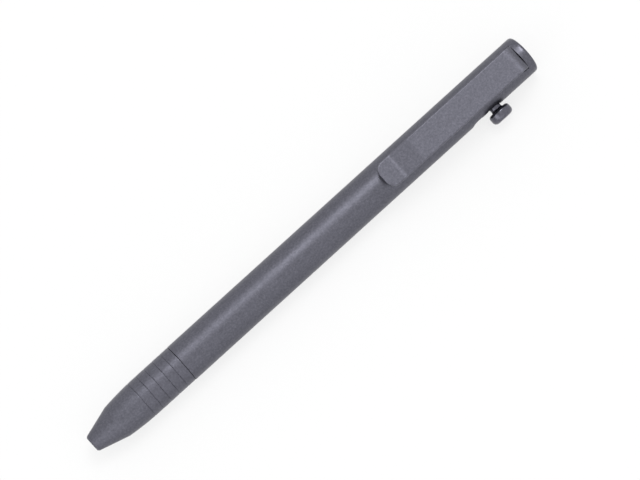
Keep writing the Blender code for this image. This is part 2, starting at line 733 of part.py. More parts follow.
def build_end_plug(pen):
    """Turn the plug of the cap end, with its screw hole, tab slot and spanner holes."""
    hole_radius = SCREW_RADIUS + RUN_CLEARANCE
    sink_radius = SCREW_HEAD_RADIUS + RUN_CLEARANCE
    sink_floor = PLUG_END - SCREW_HEAD_EDGE - SCREW_HEAD_CONE - SEAT_CLEARANCE
    outline = [
        (PLUG_RADIUS - PLUG_CHAMFER, PLUG_END),
        (PLUG_RADIUS, PLUG_END - PLUG_CHAMFER),
        (PLUG_RADIUS, PLUG_START + PLUG_CHAMFER),
        (PLUG_RADIUS - PLUG_CHAMFER, PLUG_START),
        (hole_radius, PLUG_START),
        (hole_radius, sink_floor),
        (sink_radius, sink_floor + SCREW_HEAD_CONE),
        (sink_radius, PLUG_END),
    ]
    piece, start = turned("end_plug", outline, INNER_SIDES)
    finish_piece(piece, pen, (start, 0, 0), TITANIUM)
    cut(piece, tab_slot_cutter(pen))
    for side in (-1, 1):
        name = "spanner_hole_left_cut" if side > 0 else "spanner_hole_right_cut"
        place = (PLUG_END, side * SPANNER_HOLE_REACH, 0)
        depth = 2 * SPANNER_HOLE_DEPTH
        cut(piece, drill(name, SPANNER_HOLE_RADIUS, depth, SMALL_SIDES, pen, place, ALONG_PEN))


def tab_slot_cutter(pen):
    """Give the plug's cut for the clip's tab."""
    low = -CLIP_TAB_REACH - CLIP_SLOT_CLEARANCE
    high = PLUG_RADIUS + OVERRUN
    size = (CLIP_SLOT_LENGTH, CLIP_TAB_WIDTH + 2 * CLIP_SLOT_CLEARANCE, high - low)
    return box("tab_slot_cut", size, (CLIP_TAB_STATION, 0, (low + high) / 2), pen)


def build_clip_screw(pen):
    """Turn the screw that pins the clip's tab in the plug, with a hexagon socket."""
    top = PLUG_END - SEAT_CLEARANCE
    neck = top - SCREW_HEAD_EDGE - SCREW_HEAD_CONE
    tip = top - SCREW_LENGTH
    outline = [
        (0, top),
        (SCREW_HEAD_RADIUS, top),
        (SCREW_HEAD_RADIUS, top - SCREW_HEAD_EDGE),
        (SCREW_RADIUS, neck),
        (SCREW_RADIUS, tip + SCREW_TIP_CHAMFER),
        (SCREW_RADIUS - SCREW_TIP_CHAMFER, tip),
        (0, tip),
    ]
    piece, start = turned("clip_screw", outline, SMALL_SIDES, closed=False)
    finish_piece(piece, pen, (start, 0, 0), STEEL)
    depth = 2 * SCREW_SOCKET_DEPTH
    mouth = (top, 0, 0)
    cut(piece, drill("socket_cut", SCREW_SOCKET_RADIUS, depth, HEXAGON, pen, mouth, ALONG_PEN))


def build_carrier(bolt):
    """Turn the bolt's carrier, then cut the knob's seat and thread hole in its side."""
    pocket_radius = PAD_RADIUS + RUN_CLEARANCE
    pocket_floor = PAD_START + PAD_THICKNESS + SEAT_CLEARANCE
    waist_radius = CARRIER_RADIUS - CARRIER_WAIST_DEPTH
    waist_start = CARRIER_START + CARRIER_RING_OFFSETS[-1] + CARRIER_LAND
    waist_end = STEM_STATION - STEM_RADIUS - CARRIER_LAND
    rings = []
    for offset in reversed(CARRIER_RING_OFFSETS):
        station = CARRIER_START + offset
        rings += ring_groove(station, CARRIER_RING_WIRE, CARRIER_GROOVE_RADIUS, CARRIER_RADIUS)
    outline = [
        (0, CARRIER_END),
        (CARRIER_RADIUS - CARRIER_CHAMFER, CARRIER_END),
        (CARRIER_RADIUS, CARRIER_END - CARRIER_CHAMFER),
        (CARRIER_RADIUS, waist_end + CARRIER_WAIST_DEPTH),
        (waist_radius, waist_end),
        (waist_radius, waist_start),
        (CARRIER_RADIUS, waist_start - CARRIER_WAIST_DEPTH),
        *rings,
        (CARRIER_RADIUS, CARRIER_START + CARRIER_CHAMFER),
        (CARRIER_RADIUS - CARRIER_CHAMFER, CARRIER_START),
        (pocket_radius, CARRIER_START),
        (pocket_radius, pocket_floor),
        (0, pocket_floor),
    ]
    piece, start = turned("bolt_carrier", outline, INNER_SIDES, closed=False)
    finish_piece(piece, bolt, (start, 0, 0), TITANIUM)
    seat_depth = CARRIER_RADIUS + OVERRUN - STEM_SEAT_RADIUS
    seat_centre = (STEM_STATION, -(STEM_SEAT_RADIUS + seat_depth / 2), 0)
    seat_radius = STEM_RADIUS + RUN_CLEARANCE
    hole_end = STEM_SEAT_RADIUS - STEM_THREAD_LENGTH - STEM_THREAD_SPARE
    hole_depth = CARRIER_RADIUS + OVERRUN - hole_end
    hole_centre = (STEM_STATION, -(hole_end + hole_depth / 2), 0)
    hole_radius = STEM_THREAD_RADIUS + RUN_CLEARANCE
    for name, radius, depth, centre in (
        ("knob_seat_cut", seat_radius, seat_depth, seat_centre),
        ("knob_thread_cut", hole_radius, hole_depth, hole_centre),
    ):
        cut(piece, drill(name, radius, depth, SMALL_SIDES, bolt, centre, OUT_OF_SLOT))


def build_carrier_rings(bolt):
    """Add the two rings that take up the carrier's play in the barrel."""
    for name, offset in zip(("carrier_o_ring_front", "carrier_o_ring_rear"), CARRIER_RING_OFFSETS):
        ring(name, CARRIER_RING_RADIUS, CARRIER_RING_WIRE, bolt, CARRIER_START + offset)


def build_knob(bolt):
    """Turn the knob and its stem about the stem's axis, which points out of the slot."""
    seat = STEM_SEAT_RADIUS + SEAT_CLEARANCE
    thread_end = seat - STEM_THREAD_LENGTH
    neck_top = KNOB_UNDERSIDE - KNOB_NECK_FILLET
    outline = [
        (0, KNOB_REACH),
        *arc(
            (KNOB_RADIUS - KNOB_OUTER_ROUND, KNOB_REACH - KNOB_OUTER_ROUND),
            KNOB_OUTER_ROUND, QUARTER_TURN, 0, ARC_STEPS,
        ),
        *arc(
            (KNOB_RADIUS - KNOB_INNER_ROUND, KNOB_UNDERSIDE + KNOB_INNER_ROUND),
            KNOB_INNER_ROUND, 0, -QUARTER_TURN, ARC_STEPS,
        ),
        *arc(
            (STEM_RADIUS + KNOB_NECK_FILLET, neck_top),
            KNOB_NECK_FILLET, QUARTER_TURN, 2 * QUARTER_TURN, ARC_STEPS,
        ),
        (STEM_RADIUS, seat),
        (STEM_THREAD_RADIUS, seat),
        (STEM_THREAD_RADIUS, thread_end + STEM_THREAD_CHAMFER),
        (STEM_THREAD_RADIUS - STEM_THREAD_CHAMFER, thread_end),
        (0, thread_end),
    ]
    piece, start = turned("bolt_knob", outline, INNER_SIDES, closed=False)
    piece.rotation_euler = OUT_OF_SLOT
    finish_piece(piece, bolt, (STEM_STATION, -start, 0), TITANIUM)


def build_pad(bolt):
    """Turn the plastic pad that the turning carrier pushes the refill with."""
    end = PAD_START + PAD_THICKNESS
    outline = [
        (0, end),
        (PAD_RADIUS, end),
        (PAD_RADIUS, PAD_START + PAD_CHAMFER),
        (PAD_RADIUS - PAD_CHAMFER, PAD_START),
        (0, PAD_START),
    ]
    piece, start = turned("thrust_pad", outline, INNER_SIDES, closed=False)
    finish_piece(piece, bolt, (start, 0, 0), WHITE_PLASTIC)


def build_refill(refill):
    """Build the gel refill: its point, tube, ink and plugs."""
    build_refill_cone(refill)
    build_refill_ball(refill)
    build_refill_ball_spring(refill)
    build_refill_tip_holder(refill)
    build_refill_tube(refill)
    build_refill_ink(refill)
    build_refill_end_plug(refill)


def build_refill_cone(refill):
    """Turn the metal point, with its ball seat and its bore for the ball's spring."""
    seat_radius = BALL_RADIUS + BALL_CLEARANCE
    cone_end = CONE_START + REFILL_CONE_LENGTH
    spring_end = CONE_SEAT_END + BALL_SPRING_LENGTH
    outline = [
        (REFILL_CONE_RADIUS, cone_end),
        (REFILL_CONE_RADIUS, CONE_START + REFILL_CONE_TAPER),
        (seat_radius + CONE_TIP_WALL, CONE_START),
        (seat_radius, CONE_START),
        (seat_radius, CONE_SEAT_END),
        (CONE_BORE_RADIUS, CONE_SEAT_END),
        (CONE_BORE_RADIUS, spring_end),
        (CONE_CRIMP_RADIUS, spring_end),
        (CONE_CRIMP_RADIUS, cone_end),
    ]
    piece, start = turned("refill_cone", outline, SMALL_SIDES)
    finish_piece(piece, refill, (start, 0, 0), NICKEL_SILVER)


def build_refill_ball(refill):
    """Add the ball that writes."""
    bpy.ops.mesh.primitive_uv_sphere_add(
        segments=BALL_SEGMENTS, ring_count=BALL_SEGMENTS // 2, radius=BALL_RADIUS
    )
    piece = bpy.context.object
    piece.name = "refill_ball"
    for owner in list(piece.users_collection):
        owner.objects.unlink(piece)
    parts.objects.link(piece)
    piece.data.shade_smooth()
    piece.rotation_euler = ALONG_PEN
    finish_piece(piece, refill, (BALL_STATION, 0, 0), STEEL)


def coil_points(start, end, radius, turns, end_turns, end_pitch):
    """Give the points of a compression spring, with close turns at both ends."""
    open_turns = turns - 2 * end_turns
    open_pitch = (end - start - 2 * end_turns * end_pitch) / open_turns
    points = []
    station = start
    steps = turns * COIL_POINTS_PER_TURN
    for step in range(steps + 1):
        angle = FULL_TURN * step / COIL_POINTS_PER_TURN
        points.append((station, radius * math.cos(angle), radius * math.sin(angle)))
        turn = step / COIL_POINTS_PER_TURN
        near_end = turn < end_turns or turn >= turns - end_turns
        station += (end_pitch if near_end else open_pitch) / COIL_POINTS_PER_TURN
    return points


def build_refill_ball_spring(refill):
    """Coil the fine spring that presses the ball onto its seat."""
    radius = CONE_BORE_RADIUS - BALL_CLEARANCE - BALL_SPRING_WIRE
    start = BALL_STATION + BALL_RADIUS + BALL_SPRING_WIRE
    end = CONE_SEAT_END + BALL_SPRING_LENGTH - BALL_SPRING_WIRE
    points = coil_points(start, end, radius, BALL_SPRING_TURNS, 0, 0)
    piece = coil("refill_ball_spring", points, BALL_SPRING_WIRE)
    finish_piece(piece, refill, (0, 0, 0), STEEL)


def build_refill_tip_holder(refill):
    """Turn the plastic nose that holds the point and carries the return spring."""
    cone_bore = REFILL_CONE_RADIUS + RUN_CLEARANCE
    cone_bore_end = CONE_START + REFILL_CONE_LENGTH + SEAT_CLEARANCE
    flange_end = HOLDER_SHOULDER + HOLDER_FLANGE_LENGTH
    outline = [
        (INSIDE_TUBE_RADIUS, HOLDER_END),
        (INSIDE_TUBE_RADIUS, flange_end),
        (HOLDER_FLANGE_RADIUS, flange_end),
        (HOLDER_FLANGE_RADIUS, HOLDER_SHOULDER),
        (HOLDER_NOSE_RADIUS, HOLDER_SHOULDER),
        (HOLDER_NOSE_RADIUS, HOLDER_START + HOLDER_NOSE_CHAMFER),
        (HOLDER_NOSE_RADIUS - HOLDER_NOSE_CHAMFER, HOLDER_START),
        (cone_bore, HOLDER_START),
        (cone_bore, cone_bore_end),
        (HOLDER_CHANNEL_RADIUS, cone_bore_end),
        (HOLDER_CHANNEL_RADIUS, HOLDER_END),
    ]
    piece, start = turned("refill_tip_holder", outline, SMALL_SIDES)
    finish_piece(piece, refill, (start, 0, 0), CLEAR_PLASTIC)


def build_refill_tube(refill):
    """Turn the refill's tube."""
    outline = [
        (TUBE_RADIUS, TUBE_END),
        (TUBE_RADIUS, TUBE_START),
        (TUBE_BORE_RADIUS, TUBE_START),
        (TUBE_BORE_RADIUS, TUBE_END),
    ]
    piece, start = turned("refill_tube", outline, INNER_SIDES)
    finish_piece(piece, refill, (start, 0, 0), CLEAR_PLASTIC)


def build_refill_ink(refill):
    """Fill the tube with its ink and the grease that follows the ink."""
    ink_start = HOLDER_END + SEAT_CLEARANCE
    ink_end = ink_start + INK_LENGTH
    grease_start = ink_end + SEAT_CLEARANCE
    for name, low, high, finish in (
        ("refill_ink", ink_start, ink_end, BLACK_INK),
        ("refill_follower", grease_start, grease_start + FOLLOWER_LENGTH, AMBER_GREASE),
    ):
        outline = [(0, high), (INSIDE_TUBE_RADIUS, high), (INSIDE_TUBE_RADIUS, low), (0, low)]
        piece, start = turned(name, outline, SMALL_SIDES, closed=False)
        finish_piece(piece, refill, (start, 0, 0), finish)


def build_refill_end_plug(refill):
    """Turn the vented plug at the refill's back end."""
    flange_start = REFILL_END - END_PLUG_FLANGE
    plug_start = flange_start - END_PLUG_REACH
    outline = [
        (HOLDER_FLANGE_RADIUS, REFILL_END),
        (HOLDER_FLANGE_RADIUS, flange_start),
        (INSIDE_TUBE_RADIUS, flange_start),
        (INSIDE_TUBE_RADIUS, plug_start),
        (END_PLUG_VENT_RADIUS, plug_start),
        (END_PLUG_VENT_RADIUS, REFILL_END),
    ]
    piece, start = turned("refill_end_plug", outline, SMALL_SIDES)
    finish_piece(piece, refill, (start, 0, 0), WHITE_PLASTIC)


def build_return_spring(pen):
    """Coil the spring that pushes the refill and the bolt back."""
    facet_spare = math.cos(math.pi / COIL_POINTS_PER_TURN)
    radius = (HOLDER_NOSE_RADIUS + RUN_CLEARANCE + SPRING_WIRE / 2) / facet_spare
    start = SPRING_SEAT + SEAT_CLEARANCE + SPRING_WIRE / 2
    end = HOLDER_SHOULDER - SEAT_CLEARANCE - SPRING_WIRE / 2
    end_pitch = SPRING_WIRE + SPRING_END_GAP
    points = coil_points(start, end, radius, SPRING_TURNS, SPRING_END_TURNS, end_pitch)
    piece = coil("return_spring", points, SPRING_WIRE)
    finish_piece(piece, pen, (0, 0, 0), STEEL)


def build_grip_ring(pen):
    """Add the ring under the joint of the grip and the barrel."""
    station = GRIP_LENGTH + GRIP_RING_OFFSET
    ring("grip_o_ring", GRIP_RING_RADIUS, GRIP_RING_WIRE, pen, station)


def build_pen():
    """Build every piece of the pen on its carrier."""
    pen = make_carrier("pen_axis", None, AXIS_PLACE)
    pen.rotation_euler = (REST_ROLL, 0, 0)
    refill = make_carrier("bolt_slide_axis", pen, (REFILL_SINK, 0, 0))
    bolt = make_carrier("bolt_turn_axis", refill, (STEM_STATION, 0, 0))
    clip_carrier = make_carrier("clip_flex_axis", pen, (CLIP_TAB_STATION, 0, CLIP_SHOULDER_HEIGHT))
    build_grip_section(pen)
    build_grip_ring(pen)
    build_barrel(pen)
    build_end_plug(pen)
    build_clip_screw(pen)
    build_clip(clip_carrier)
    build_return_spring(pen)
    build_refill(refill)
    build_carrier(bolt)
    build_carrier_rings(bolt)
    build_knob(bolt)
    build_pad(bolt)


clear_scene()
parts = make_collection("bolt_action_pen")
cutters = make_collection("cutters")
build_pen()
bpy.context.view_layer.update()
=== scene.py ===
"""Looks of the bolt action pen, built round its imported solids.

Every visual piece is modelled in the pen's own frame, in millimetres: x is the station,
which is the distance from the nose face along the pen's axis, z points up through the
clip, and the bolt's knob points towards -y. PEN_FRAME puts that frame where the pen lies.
"""

import json
import math

import bmesh
import bpy
from mathutils import Matrix, Vector


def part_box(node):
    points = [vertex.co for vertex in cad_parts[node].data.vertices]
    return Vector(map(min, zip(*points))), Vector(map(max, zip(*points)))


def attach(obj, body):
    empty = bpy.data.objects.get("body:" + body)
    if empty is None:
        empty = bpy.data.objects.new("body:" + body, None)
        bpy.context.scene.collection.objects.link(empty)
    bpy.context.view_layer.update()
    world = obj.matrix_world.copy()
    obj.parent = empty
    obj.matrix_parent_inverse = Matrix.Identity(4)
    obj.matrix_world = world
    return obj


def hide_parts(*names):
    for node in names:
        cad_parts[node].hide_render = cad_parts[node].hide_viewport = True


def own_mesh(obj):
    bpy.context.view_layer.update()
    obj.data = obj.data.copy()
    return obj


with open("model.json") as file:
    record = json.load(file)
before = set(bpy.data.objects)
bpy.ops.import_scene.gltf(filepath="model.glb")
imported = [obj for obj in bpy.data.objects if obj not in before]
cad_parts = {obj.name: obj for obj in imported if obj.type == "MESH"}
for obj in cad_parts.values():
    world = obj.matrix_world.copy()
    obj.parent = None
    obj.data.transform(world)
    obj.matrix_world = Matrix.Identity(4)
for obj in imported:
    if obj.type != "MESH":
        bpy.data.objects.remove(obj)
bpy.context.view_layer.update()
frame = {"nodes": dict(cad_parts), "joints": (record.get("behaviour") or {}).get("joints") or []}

bl_info = {
    "name": "Bolt Action Pen",
    "version": (1, 0, 0),
    "blender": (4, 5, 0),
    "location": "View3D > Sidebar > Bolt Pen",
    "description": "Builds the looks of a turned metal pen with a side bolt and a strap clip",
    "category": "Object",
}

MM = 0.001
FULL_TURN = 2 * math.pi
HALF_TURN = math.pi
QUARTER_TURN = math.pi / 2

# Where the pen lies
BARREL_LOW, BARREL_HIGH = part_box("barrel")
NOSE_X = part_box("grip_section")[0].x
AXIS_Y = (BARREL_LOW.y + BARREL_HIGH.y) / 2
AXIS_Z = (BARREL_LOW.z + BARREL_HIGH.z) / 2
JOINTS = {joint["name"]: joint for joint in frame["joints"]}
CLIP_AXIS = JOINTS["clip_flex"]["axis"]
PEN_ROLL = math.atan2(CLIP_AXIS[2], CLIP_AXIS[1])
AXIS_PLACE = Vector((NOSE_X, AXIS_Y, AXIS_Z))
PEN_FRAME = (
    Matrix.Translation(AXIS_PLACE) @ Matrix.Rotation(PEN_ROLL, 4, "X") @ Matrix.Scale(MM, 4)
)

# Small rounds of turned edges, in millimetres like every size below
EDGE = 0.05
FINE_EDGE = 0.04

# Extra rings this far beside a round keep the face next to it shaded flat
SUPPORT = 0.1

# Closed outlines start and end on a flat face, this far outside the face's bore
FACE_START = 0.3
FACE_END = 0.2
SPIGOT_FACE_START = 0.4

# Cutters reach this far past the surface that they cut
CUT_SPARE = 1

# Casing
PEN_LENGTH = 142.0
BARREL_RADIUS = 5.195
PEN_BORE = 3.25
RIM_ROUND = 1.5
RIM_RUBBED = (140.5, 141.2)
RIM_CHAMFER = 0.12
GRIP_LENGTH = 28.8
GRIP_RADIUS = 5.14
SEAM_GAP = 0.06
SEAM_ROUND = 0.15
CONE_LENGTH = 8.1
CONE_TOP_RADIUS = 4.56
SHOULDER_LENGTH = 10.0
SHOULDER_STEPS = 16
NOSE_FACE_RADIUS = 1.93
NOSE_CHAMFER = 0.38
NOSE_ROUND = 0.18
NOSE_BORE = 1.25
NOSE_BORE_CHAMFER = 0.1
SPRING_SEAT = 3.0
SPRING_BORE = 2.35
SPRING_BORE_END = 11.5
SPIGOT_RADIUS = 4.15
SPIGOT_END = 38.8
SPIGOT_ROUND = 0.3
RING_GROOVE_START = GRIP_LENGTH + 0.9
RING_GROOVE_END = GRIP_LENGTH + 1.7
RING_GROOVE_DEPTH = 0.45
SOCKET_RADIUS = 4.2
SOCKET_END = 39.2
MOUTH_RADIUS = 4.34
MOUTH_END = 31.06
PLUG_BORE = 3.4
PLUG_BORE_START = 131.9

# Rings of the barrel beside its slots, which keep the cuts' faces short
BARREL_RINGS = (140.2, 137.8, 130.4, 118.6)

# Grip grooves: a V as (side, share of the depth, round)
GROOVE_COUNT = 5
GROOVE_START = 15.85
GROOVE_PITCH = 2.62
GROOVE_WIDTH = 0.36
GROOVE_SHARES = (
    (1, 0, 0.05),
    (0.4, 0.25, 0.03),
    (0, 1, 0.02),
    (-0.4, 0.25, 0.03),
    (-1, 0, 0.05),
)

# Bolt and its slot
STEM_STATION = 127.6
STEM_RADIUS = 1.5
STEM_SEAT = 2.95
STEM_FRAME = (
    Matrix.Translation((STEM_STATION, 0, 0)) @ Matrix.Rotation(-QUARTER_TURN, 4, "Z")
)
THREAD_RADIUS = 1.0
THREAD_END = 0.65
THREAD_CHAMFER = 0.25
KNOB_UNDERSIDE = 6.0
KNOB_REACH = 8.7
KNOB_RADIUS = 3.0
KNOB_FILLET = 0.45
BOLT_TRAVEL = 5.6
BOLT_TURN = math.radians(29)
SLOT_HALF = 1.7
HOOK_DEPTH = 0.4
SWEEP_SPARE = 0.002
LOCK_STATION = STEM_STATION - BOLT_TRAVEL
SHORTEST_STEP = 0.05

# Clip: its middle line as (station, height), and bands painted lighter on its two bends, painted
# highlights that partly also stand for rubbed metal
CLIP_HALF = 3.5
CLIP_THICKNESS = 1.0
CLIP_END_ROUND = 2.4
CLIP_TAB_STATION = 138.98
CLIP_TAB_HALF = 1.9
CLIP_TAB_END = -2.0
CLIP_PATH = (
    (94.25, 6.75),
    (99.15, 6.0),
    (105.0, 7.05),
    (137.4, 7.05),
    (CLIP_TAB_STATION, 5.55),
    (CLIP_TAB_STATION, CLIP_TAB_END),
)
CLIP_BENDS = (2.4, 3.0, 1.3, 0.8)
CLIP_PAINTED_HIGHLIGHTS = (
    (94.0, 1.0),
    (98.45, 1.0),
    (98.85, 1.25),
    (99.25, 1.25),
    (99.75, 1.0),
    (136.4, 1.0),
    (137.0, 1.2),
    (137.5, 1.5),
    (138.0, 1.3),
    (138.5, 1.0),
    (142.0, 1.0),
)
CLIP_LIGHTNESS = 1.1
CLIP_SHOULDER_HEIGHT = 3.01
CLIP_SHOULDER_RUN = 0.03
CLIP_HOLE_RADIUS = 1.25
CLIP_SLOT_HALF = 0.72
CLIP_SLOT_SIDE = 3.72
CLIP_SLOT_FLOOR = 2.79
CLIP_SLOT_EDGE_SHARE = 0.6

# Cap end
PLUG_RADIUS = 3.35
PLUG_START = 132.5
PLUG_END = 141.7
PLUG_CHAMFER = 0.2
TAB_GAP = 0.22
SCREW_RADIUS = 1.0
SCREW_GAP = 0.05
SCREW_TOP = 141.65
SCREW_HEAD_RADIUS = 1.8
SCREW_HEAD_RIM = 0.3
SCREW_HEAD_ROUND = 0.08
SCREW_SEAT_CHAMFER = 0.06
SCREW_SEAT_ROUND = 0.02
SCREW_NECK = 140.55
SCREW_TIP = 134.45
SCREW_CHAMFER = 0.25
SPANNER_HOLE = 0.4
SPANNER_REACH = 2.65
SPANNER_DEPTH = 1.2
SOCKET_WIDTH = 1.5
SOCKET_DEPTH = 0.7

# Carrier: its waist, its ring grooves, its pad's seat and its holes as (radius, start)
CARRIER_RADIUS = 3.2
CARRIER_START = 112.15
CARRIER_END = 130.8
CARRIER_CHAMFER = 0.3
WAIST_START = 120.9
WAIST_END = 123.75
WAIST_DEPTH = 0.25
CARRIER_GROOVES = (118.55, 114.55)
CARRIER_GROOVE_HALF = 0.45
CARRIER_GROOVE_RADIUS = 2.49
PAD_SEAT = 113.0
PAD_RADIUS = 2.5
STEM_HOLES = ((1.55, 2.9), (1.05, 0.2))
STEM_HOLE_END = 5

# Refill point
POINT_START = 1.44
POINT_END = POINT_START + 14.0
POINT_RADIUS = 1.15
POINT_FACE_START = 0.6
POINT_CONE_LENGTH = 2.4
POINT_LIP_LENGTH = 0.25
POINT_LIP_BASE = 0.5
POINT_LIP_RADIUS = 0.43
POINT_INK_BORE = 0.25
POINT_ROUND = 0.1
POINT_CONE_ROUND = 0.3
POINT_LIP_ROUND = 0.03
BALL_STATION = 1.55
BALL_RADIUS = 0.35
BALL_HOUSING = 0.37
BALL_SPRING_BORE = 0.42
BALL_SPRING_START = 2.05
BALL_SPRING_END = 6.65

# Return spring
SPRING_RADIUS = 2.07
SPRING_START = 3.25
SPRING_END = 17.85
SPRING_TURNS = 10
SPRING_WIRE = 0.4
SPRING_END_PITCH = 0.5
SPRING_STEPS = 28

# Blasted titanium: how much the patches count beside the pits, how dark and how light the
# grain goes, and how light worn edges are
PATCH_SHARE = 0.15
GRAIN_DARK = 0.79
GRAIN_LIGHT = 1.25
WORN_LIGHT = 2.4

# How much smoother handling has rubbed the knob and the rim
RUBBED = 0.16

# Turned and moulded skins: their darkest and lightest shade, and the depth of tool marks
TURNED_SHADES = (0.8, 1.1)
TURNED_DEPTH = 0.002
MOULDED_SHADES = (0.88, 1.08)

# How far a skin's roughness spreads about its middle, to the smooth and to the rough side
BLASTED_SPREAD = (-0.04, 0.05)
TURNED_SPREAD = (-0.06, 0.08)
MOULDED_SPREAD = (-0.05, 0.07)

# Levels of each texture that count as 0 and as 1
NOISE_LEVELS = (0.3, 0.7)
PIT_LEVELS = (0.12, 0.42)
EDGE_LEVELS = (1.0, 0.92)
BREAK_LEVELS = (0.35, 0.6)

# Coarse pits' scale beside the fine ones', and the wear left where rubbing is broken
COARSE_SHARE = 0.37
LEAST_WEAR = 0.25

# Lamps: how far each leans from the camera's line of sight, to which side it leans,
# clockwise from the picture's top, the length of its side in metres and its power in watts
LAMP_DISTANCE = 0.95
LAMPS = (
    ("key_lamp", math.radians(38), math.radians(-2), 0.42, 2.42),
    ("low_lamp", math.radians(50), math.radians(228), 0.5, 0.92),
    ("fill_lamp", math.radians(45), math.radians(170), 1.2, 1.71),
)

# White surroundings, and how bright they are for matt surfaces
WHITE = (1, 1, 1, 1)
FLOOR_WHITE = (0.98, 0.98, 0.98, 1)
FLOOR_SIZE = 12
MATT_LEVEL = 0.7

# Nearest and farthest place that the camera sees, in metres
CAMERA_NEAR = 0.05
CAMERA_FAR = 20

# Facets
CASING_SIDES = 160
KNOB_SIDES = 96
INNER_SIDES = 64
STEM_HOLE_SIDES = 48
HOLE_SIDES = 32
MILL_SIDES = 64
CORNER_STEPS = 6
FINE_CORNER_STEPS = 12
SWEEP_STEPS = 12
CLIP_BEND_STEPS = 10
CLIP_END_STEPS = 14
BALL_DETAIL = 4
WIRE_DETAIL = 3
BEVEL_SAMPLES = 6
SHARP_ANGLE = math.radians(26)
NEARLY_STRAIGHT = QUARTER_TURN - 0.01
WELD = 0.0005
ON_AXIS = 1e-6
ROUNDING_ERROR = 1e-9


def rounded(corners, steps=CORNER_STEPS):
    """Round the corners (x, y, round) of an open outline with arcs."""
    points = [Vector(corners[0][:2])]
    for before, corner, after in zip(corners, corners[1:], corners[2:]):
        here = Vector(corner[:2])
        back = Vector(before[:2]) - here
        ahead = Vector(after[:2]) - here
        half_angle = back.angle(ahead) / 2
        radius = corner[2]
        if radius <= 0 or half_angle > NEARLY_STRAIGHT:
            points.append(here)
            continue
        reach = min(radius / math.tan(half_angle), back.length / 2, ahead.length / 2)
        radius = reach * math.tan(half_angle)
        back.normalize()
        ahead.normalize()
        centre = here + (back + ahead).normalized() * radius / math.sin(half_angle)
        first = here + back * reach - centre
        last = here + ahead * reach - centre
        sweep = math.atan2(first.x * last.y - first.y * last.x, first.dot(last))
        for step in range(steps + 1):
            angle = sweep * step / steps
            x = first.x * math.cos(angle) - first.y * math.sin(angle)
            y = first.x * math.sin(angle) + first.y * math.cos(angle)
            points.append(centre + Vector((x, y)))
    points.append(Vector(corners[-1][:2]))
    return points


def add_object(name, data):
    """Add an object that holds a mesh, a curve, a lamp or a camera."""
    added = bpy.data.objects.new(name, data)
    bpy.context.scene.collection.objects.link(added)
    return added


def mesh_piece(name, shape):
    """Make an object of a bmesh, given in the pen's frame in millimetres."""
    bmesh.ops.recalc_face_normals(shape, faces=shape.faces)
    mesh = bpy.data.meshes.new(name)
    shape.to_mesh(mesh)
    shape.free()
    return add_object(name, mesh)


def lathe_shape(outline, sides, closed=True):
    """Turn an outline of (station, radius) points about the x axis."""
    shape = bmesh.new()
    rings = []
    for station, radius in outline:
        if radius < ON_AXIS:
            rings.append([shape.verts.new((station, 0, 0))] * sides)
            continue
        ring = []
        for side in range(sides):
            angle = FULL_TURN * (side + 0.5) / sides
            spot = (station, radius * math.cos(angle), radius * math.sin(angle))
            ring.append(shape.verts.new(spot))
        rings.append(ring)
    pairs = list(zip(rings, rings[1:]))
    if closed:
        pairs.append((rings[-1], rings[0]))
    for first, second in pairs:
        for side in range(sides):
            after = (side + 1) % sides
            corners = []
            for corner in (first[side], first[after], second[after], second[side]):
                if corner not in corners:
                    corners.append(corner)
            if len(corners) > 2:
                shape.faces.new(corners)
    return shape


def lathe(name, corners, sides, closed=True, steps=CORNER_STEPS):
    """Turn an outline of rounded corners (station, radius, round) about the pen's axis."""
    return mesh_piece(name, lathe_shape(rounded(corners, steps), sides, closed))


def applied(piece):
    """Give a new mesh of a piece as it is with its modifiers, or with its curve filled."""
    bpy.context.view_layer.update()
    depsgraph = bpy.context.evaluated_depsgraph_get()
    return bpy.data.meshes.new_from_object(piece.evaluated_get(depsgraph))


def finish_mesh(piece):
    """Weld a piece's mesh and shade it smooth between its sharp edges."""
    mesh = piece.data
    mesh.name = piece.name
    shape = bmesh.new()
    shape.from_mesh(mesh)
    bmesh.ops.remove_doubles(shape, verts=shape.verts, dist=WELD)
    shape.to_mesh(mesh)
    shape.free()
    mesh.shade_smooth()
    mesh.set_sharp_from_angle(angle=SHARP_ANGLE)


def cut(piece, cutter):
    """Cut a piece with a cutter and throw the cutter away."""
    boolean = piece.modifiers.new("Cut", "BOOLEAN")
    boolean.solver = "EXACT"
    boolean.operation = "DIFFERENCE"
    boolean.object = cutter
    mesh = applied(piece)
    piece.modifiers.clear()
    piece.data = mesh
    bpy.data.objects.remove(cutter, do_unlink=True)


def place(piece, body, slot, material, *nodes):
    """Put a finished piece on the pen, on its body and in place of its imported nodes."""
    finish_mesh(piece)
    piece.data.materials.clear()
    piece.data.materials.append(material)
    piece.data.transform(PEN_FRAME)
    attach(piece, body)
    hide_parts(*nodes)


def block(name, low, high):
    """Make a cutter box between two corners."""
    shape = bmesh.new()
    bmesh.ops.create_cube(shape, size=1)
    size = Vector(high) - Vector(low)
    middle = (Vector(high) + Vector(low)) / 2
    shape.transform(Matrix.Translation(middle) @ Matrix.Diagonal((*size, 1)))
    return mesh_piece(name, shape)


def rod(name, start, end, radius, sides=HOLE_SIDES, across=0):
    """Make a cutter rod along the pen between two stations."""
    shape = lathe_shape([(start, 0), (start, radius), (end, radius), (end, 0)], sides, False)
    shape.transform(Matrix.Translation((0, across, 0)))
    return mesh_piece(name, shape)


def mill_place(station, side, angle, depth):
    """Give a point beside an end mill's path, at a depth from the pen's axis.

    The mill points at the axis, and its angle runs from the knob's side to the underside.
    """
    across = -depth * math.cos(angle) + side * math.sin(angle)
    up = -depth * math.sin(angle) - side * math.cos(angle)
    return Vector((station, across, up))


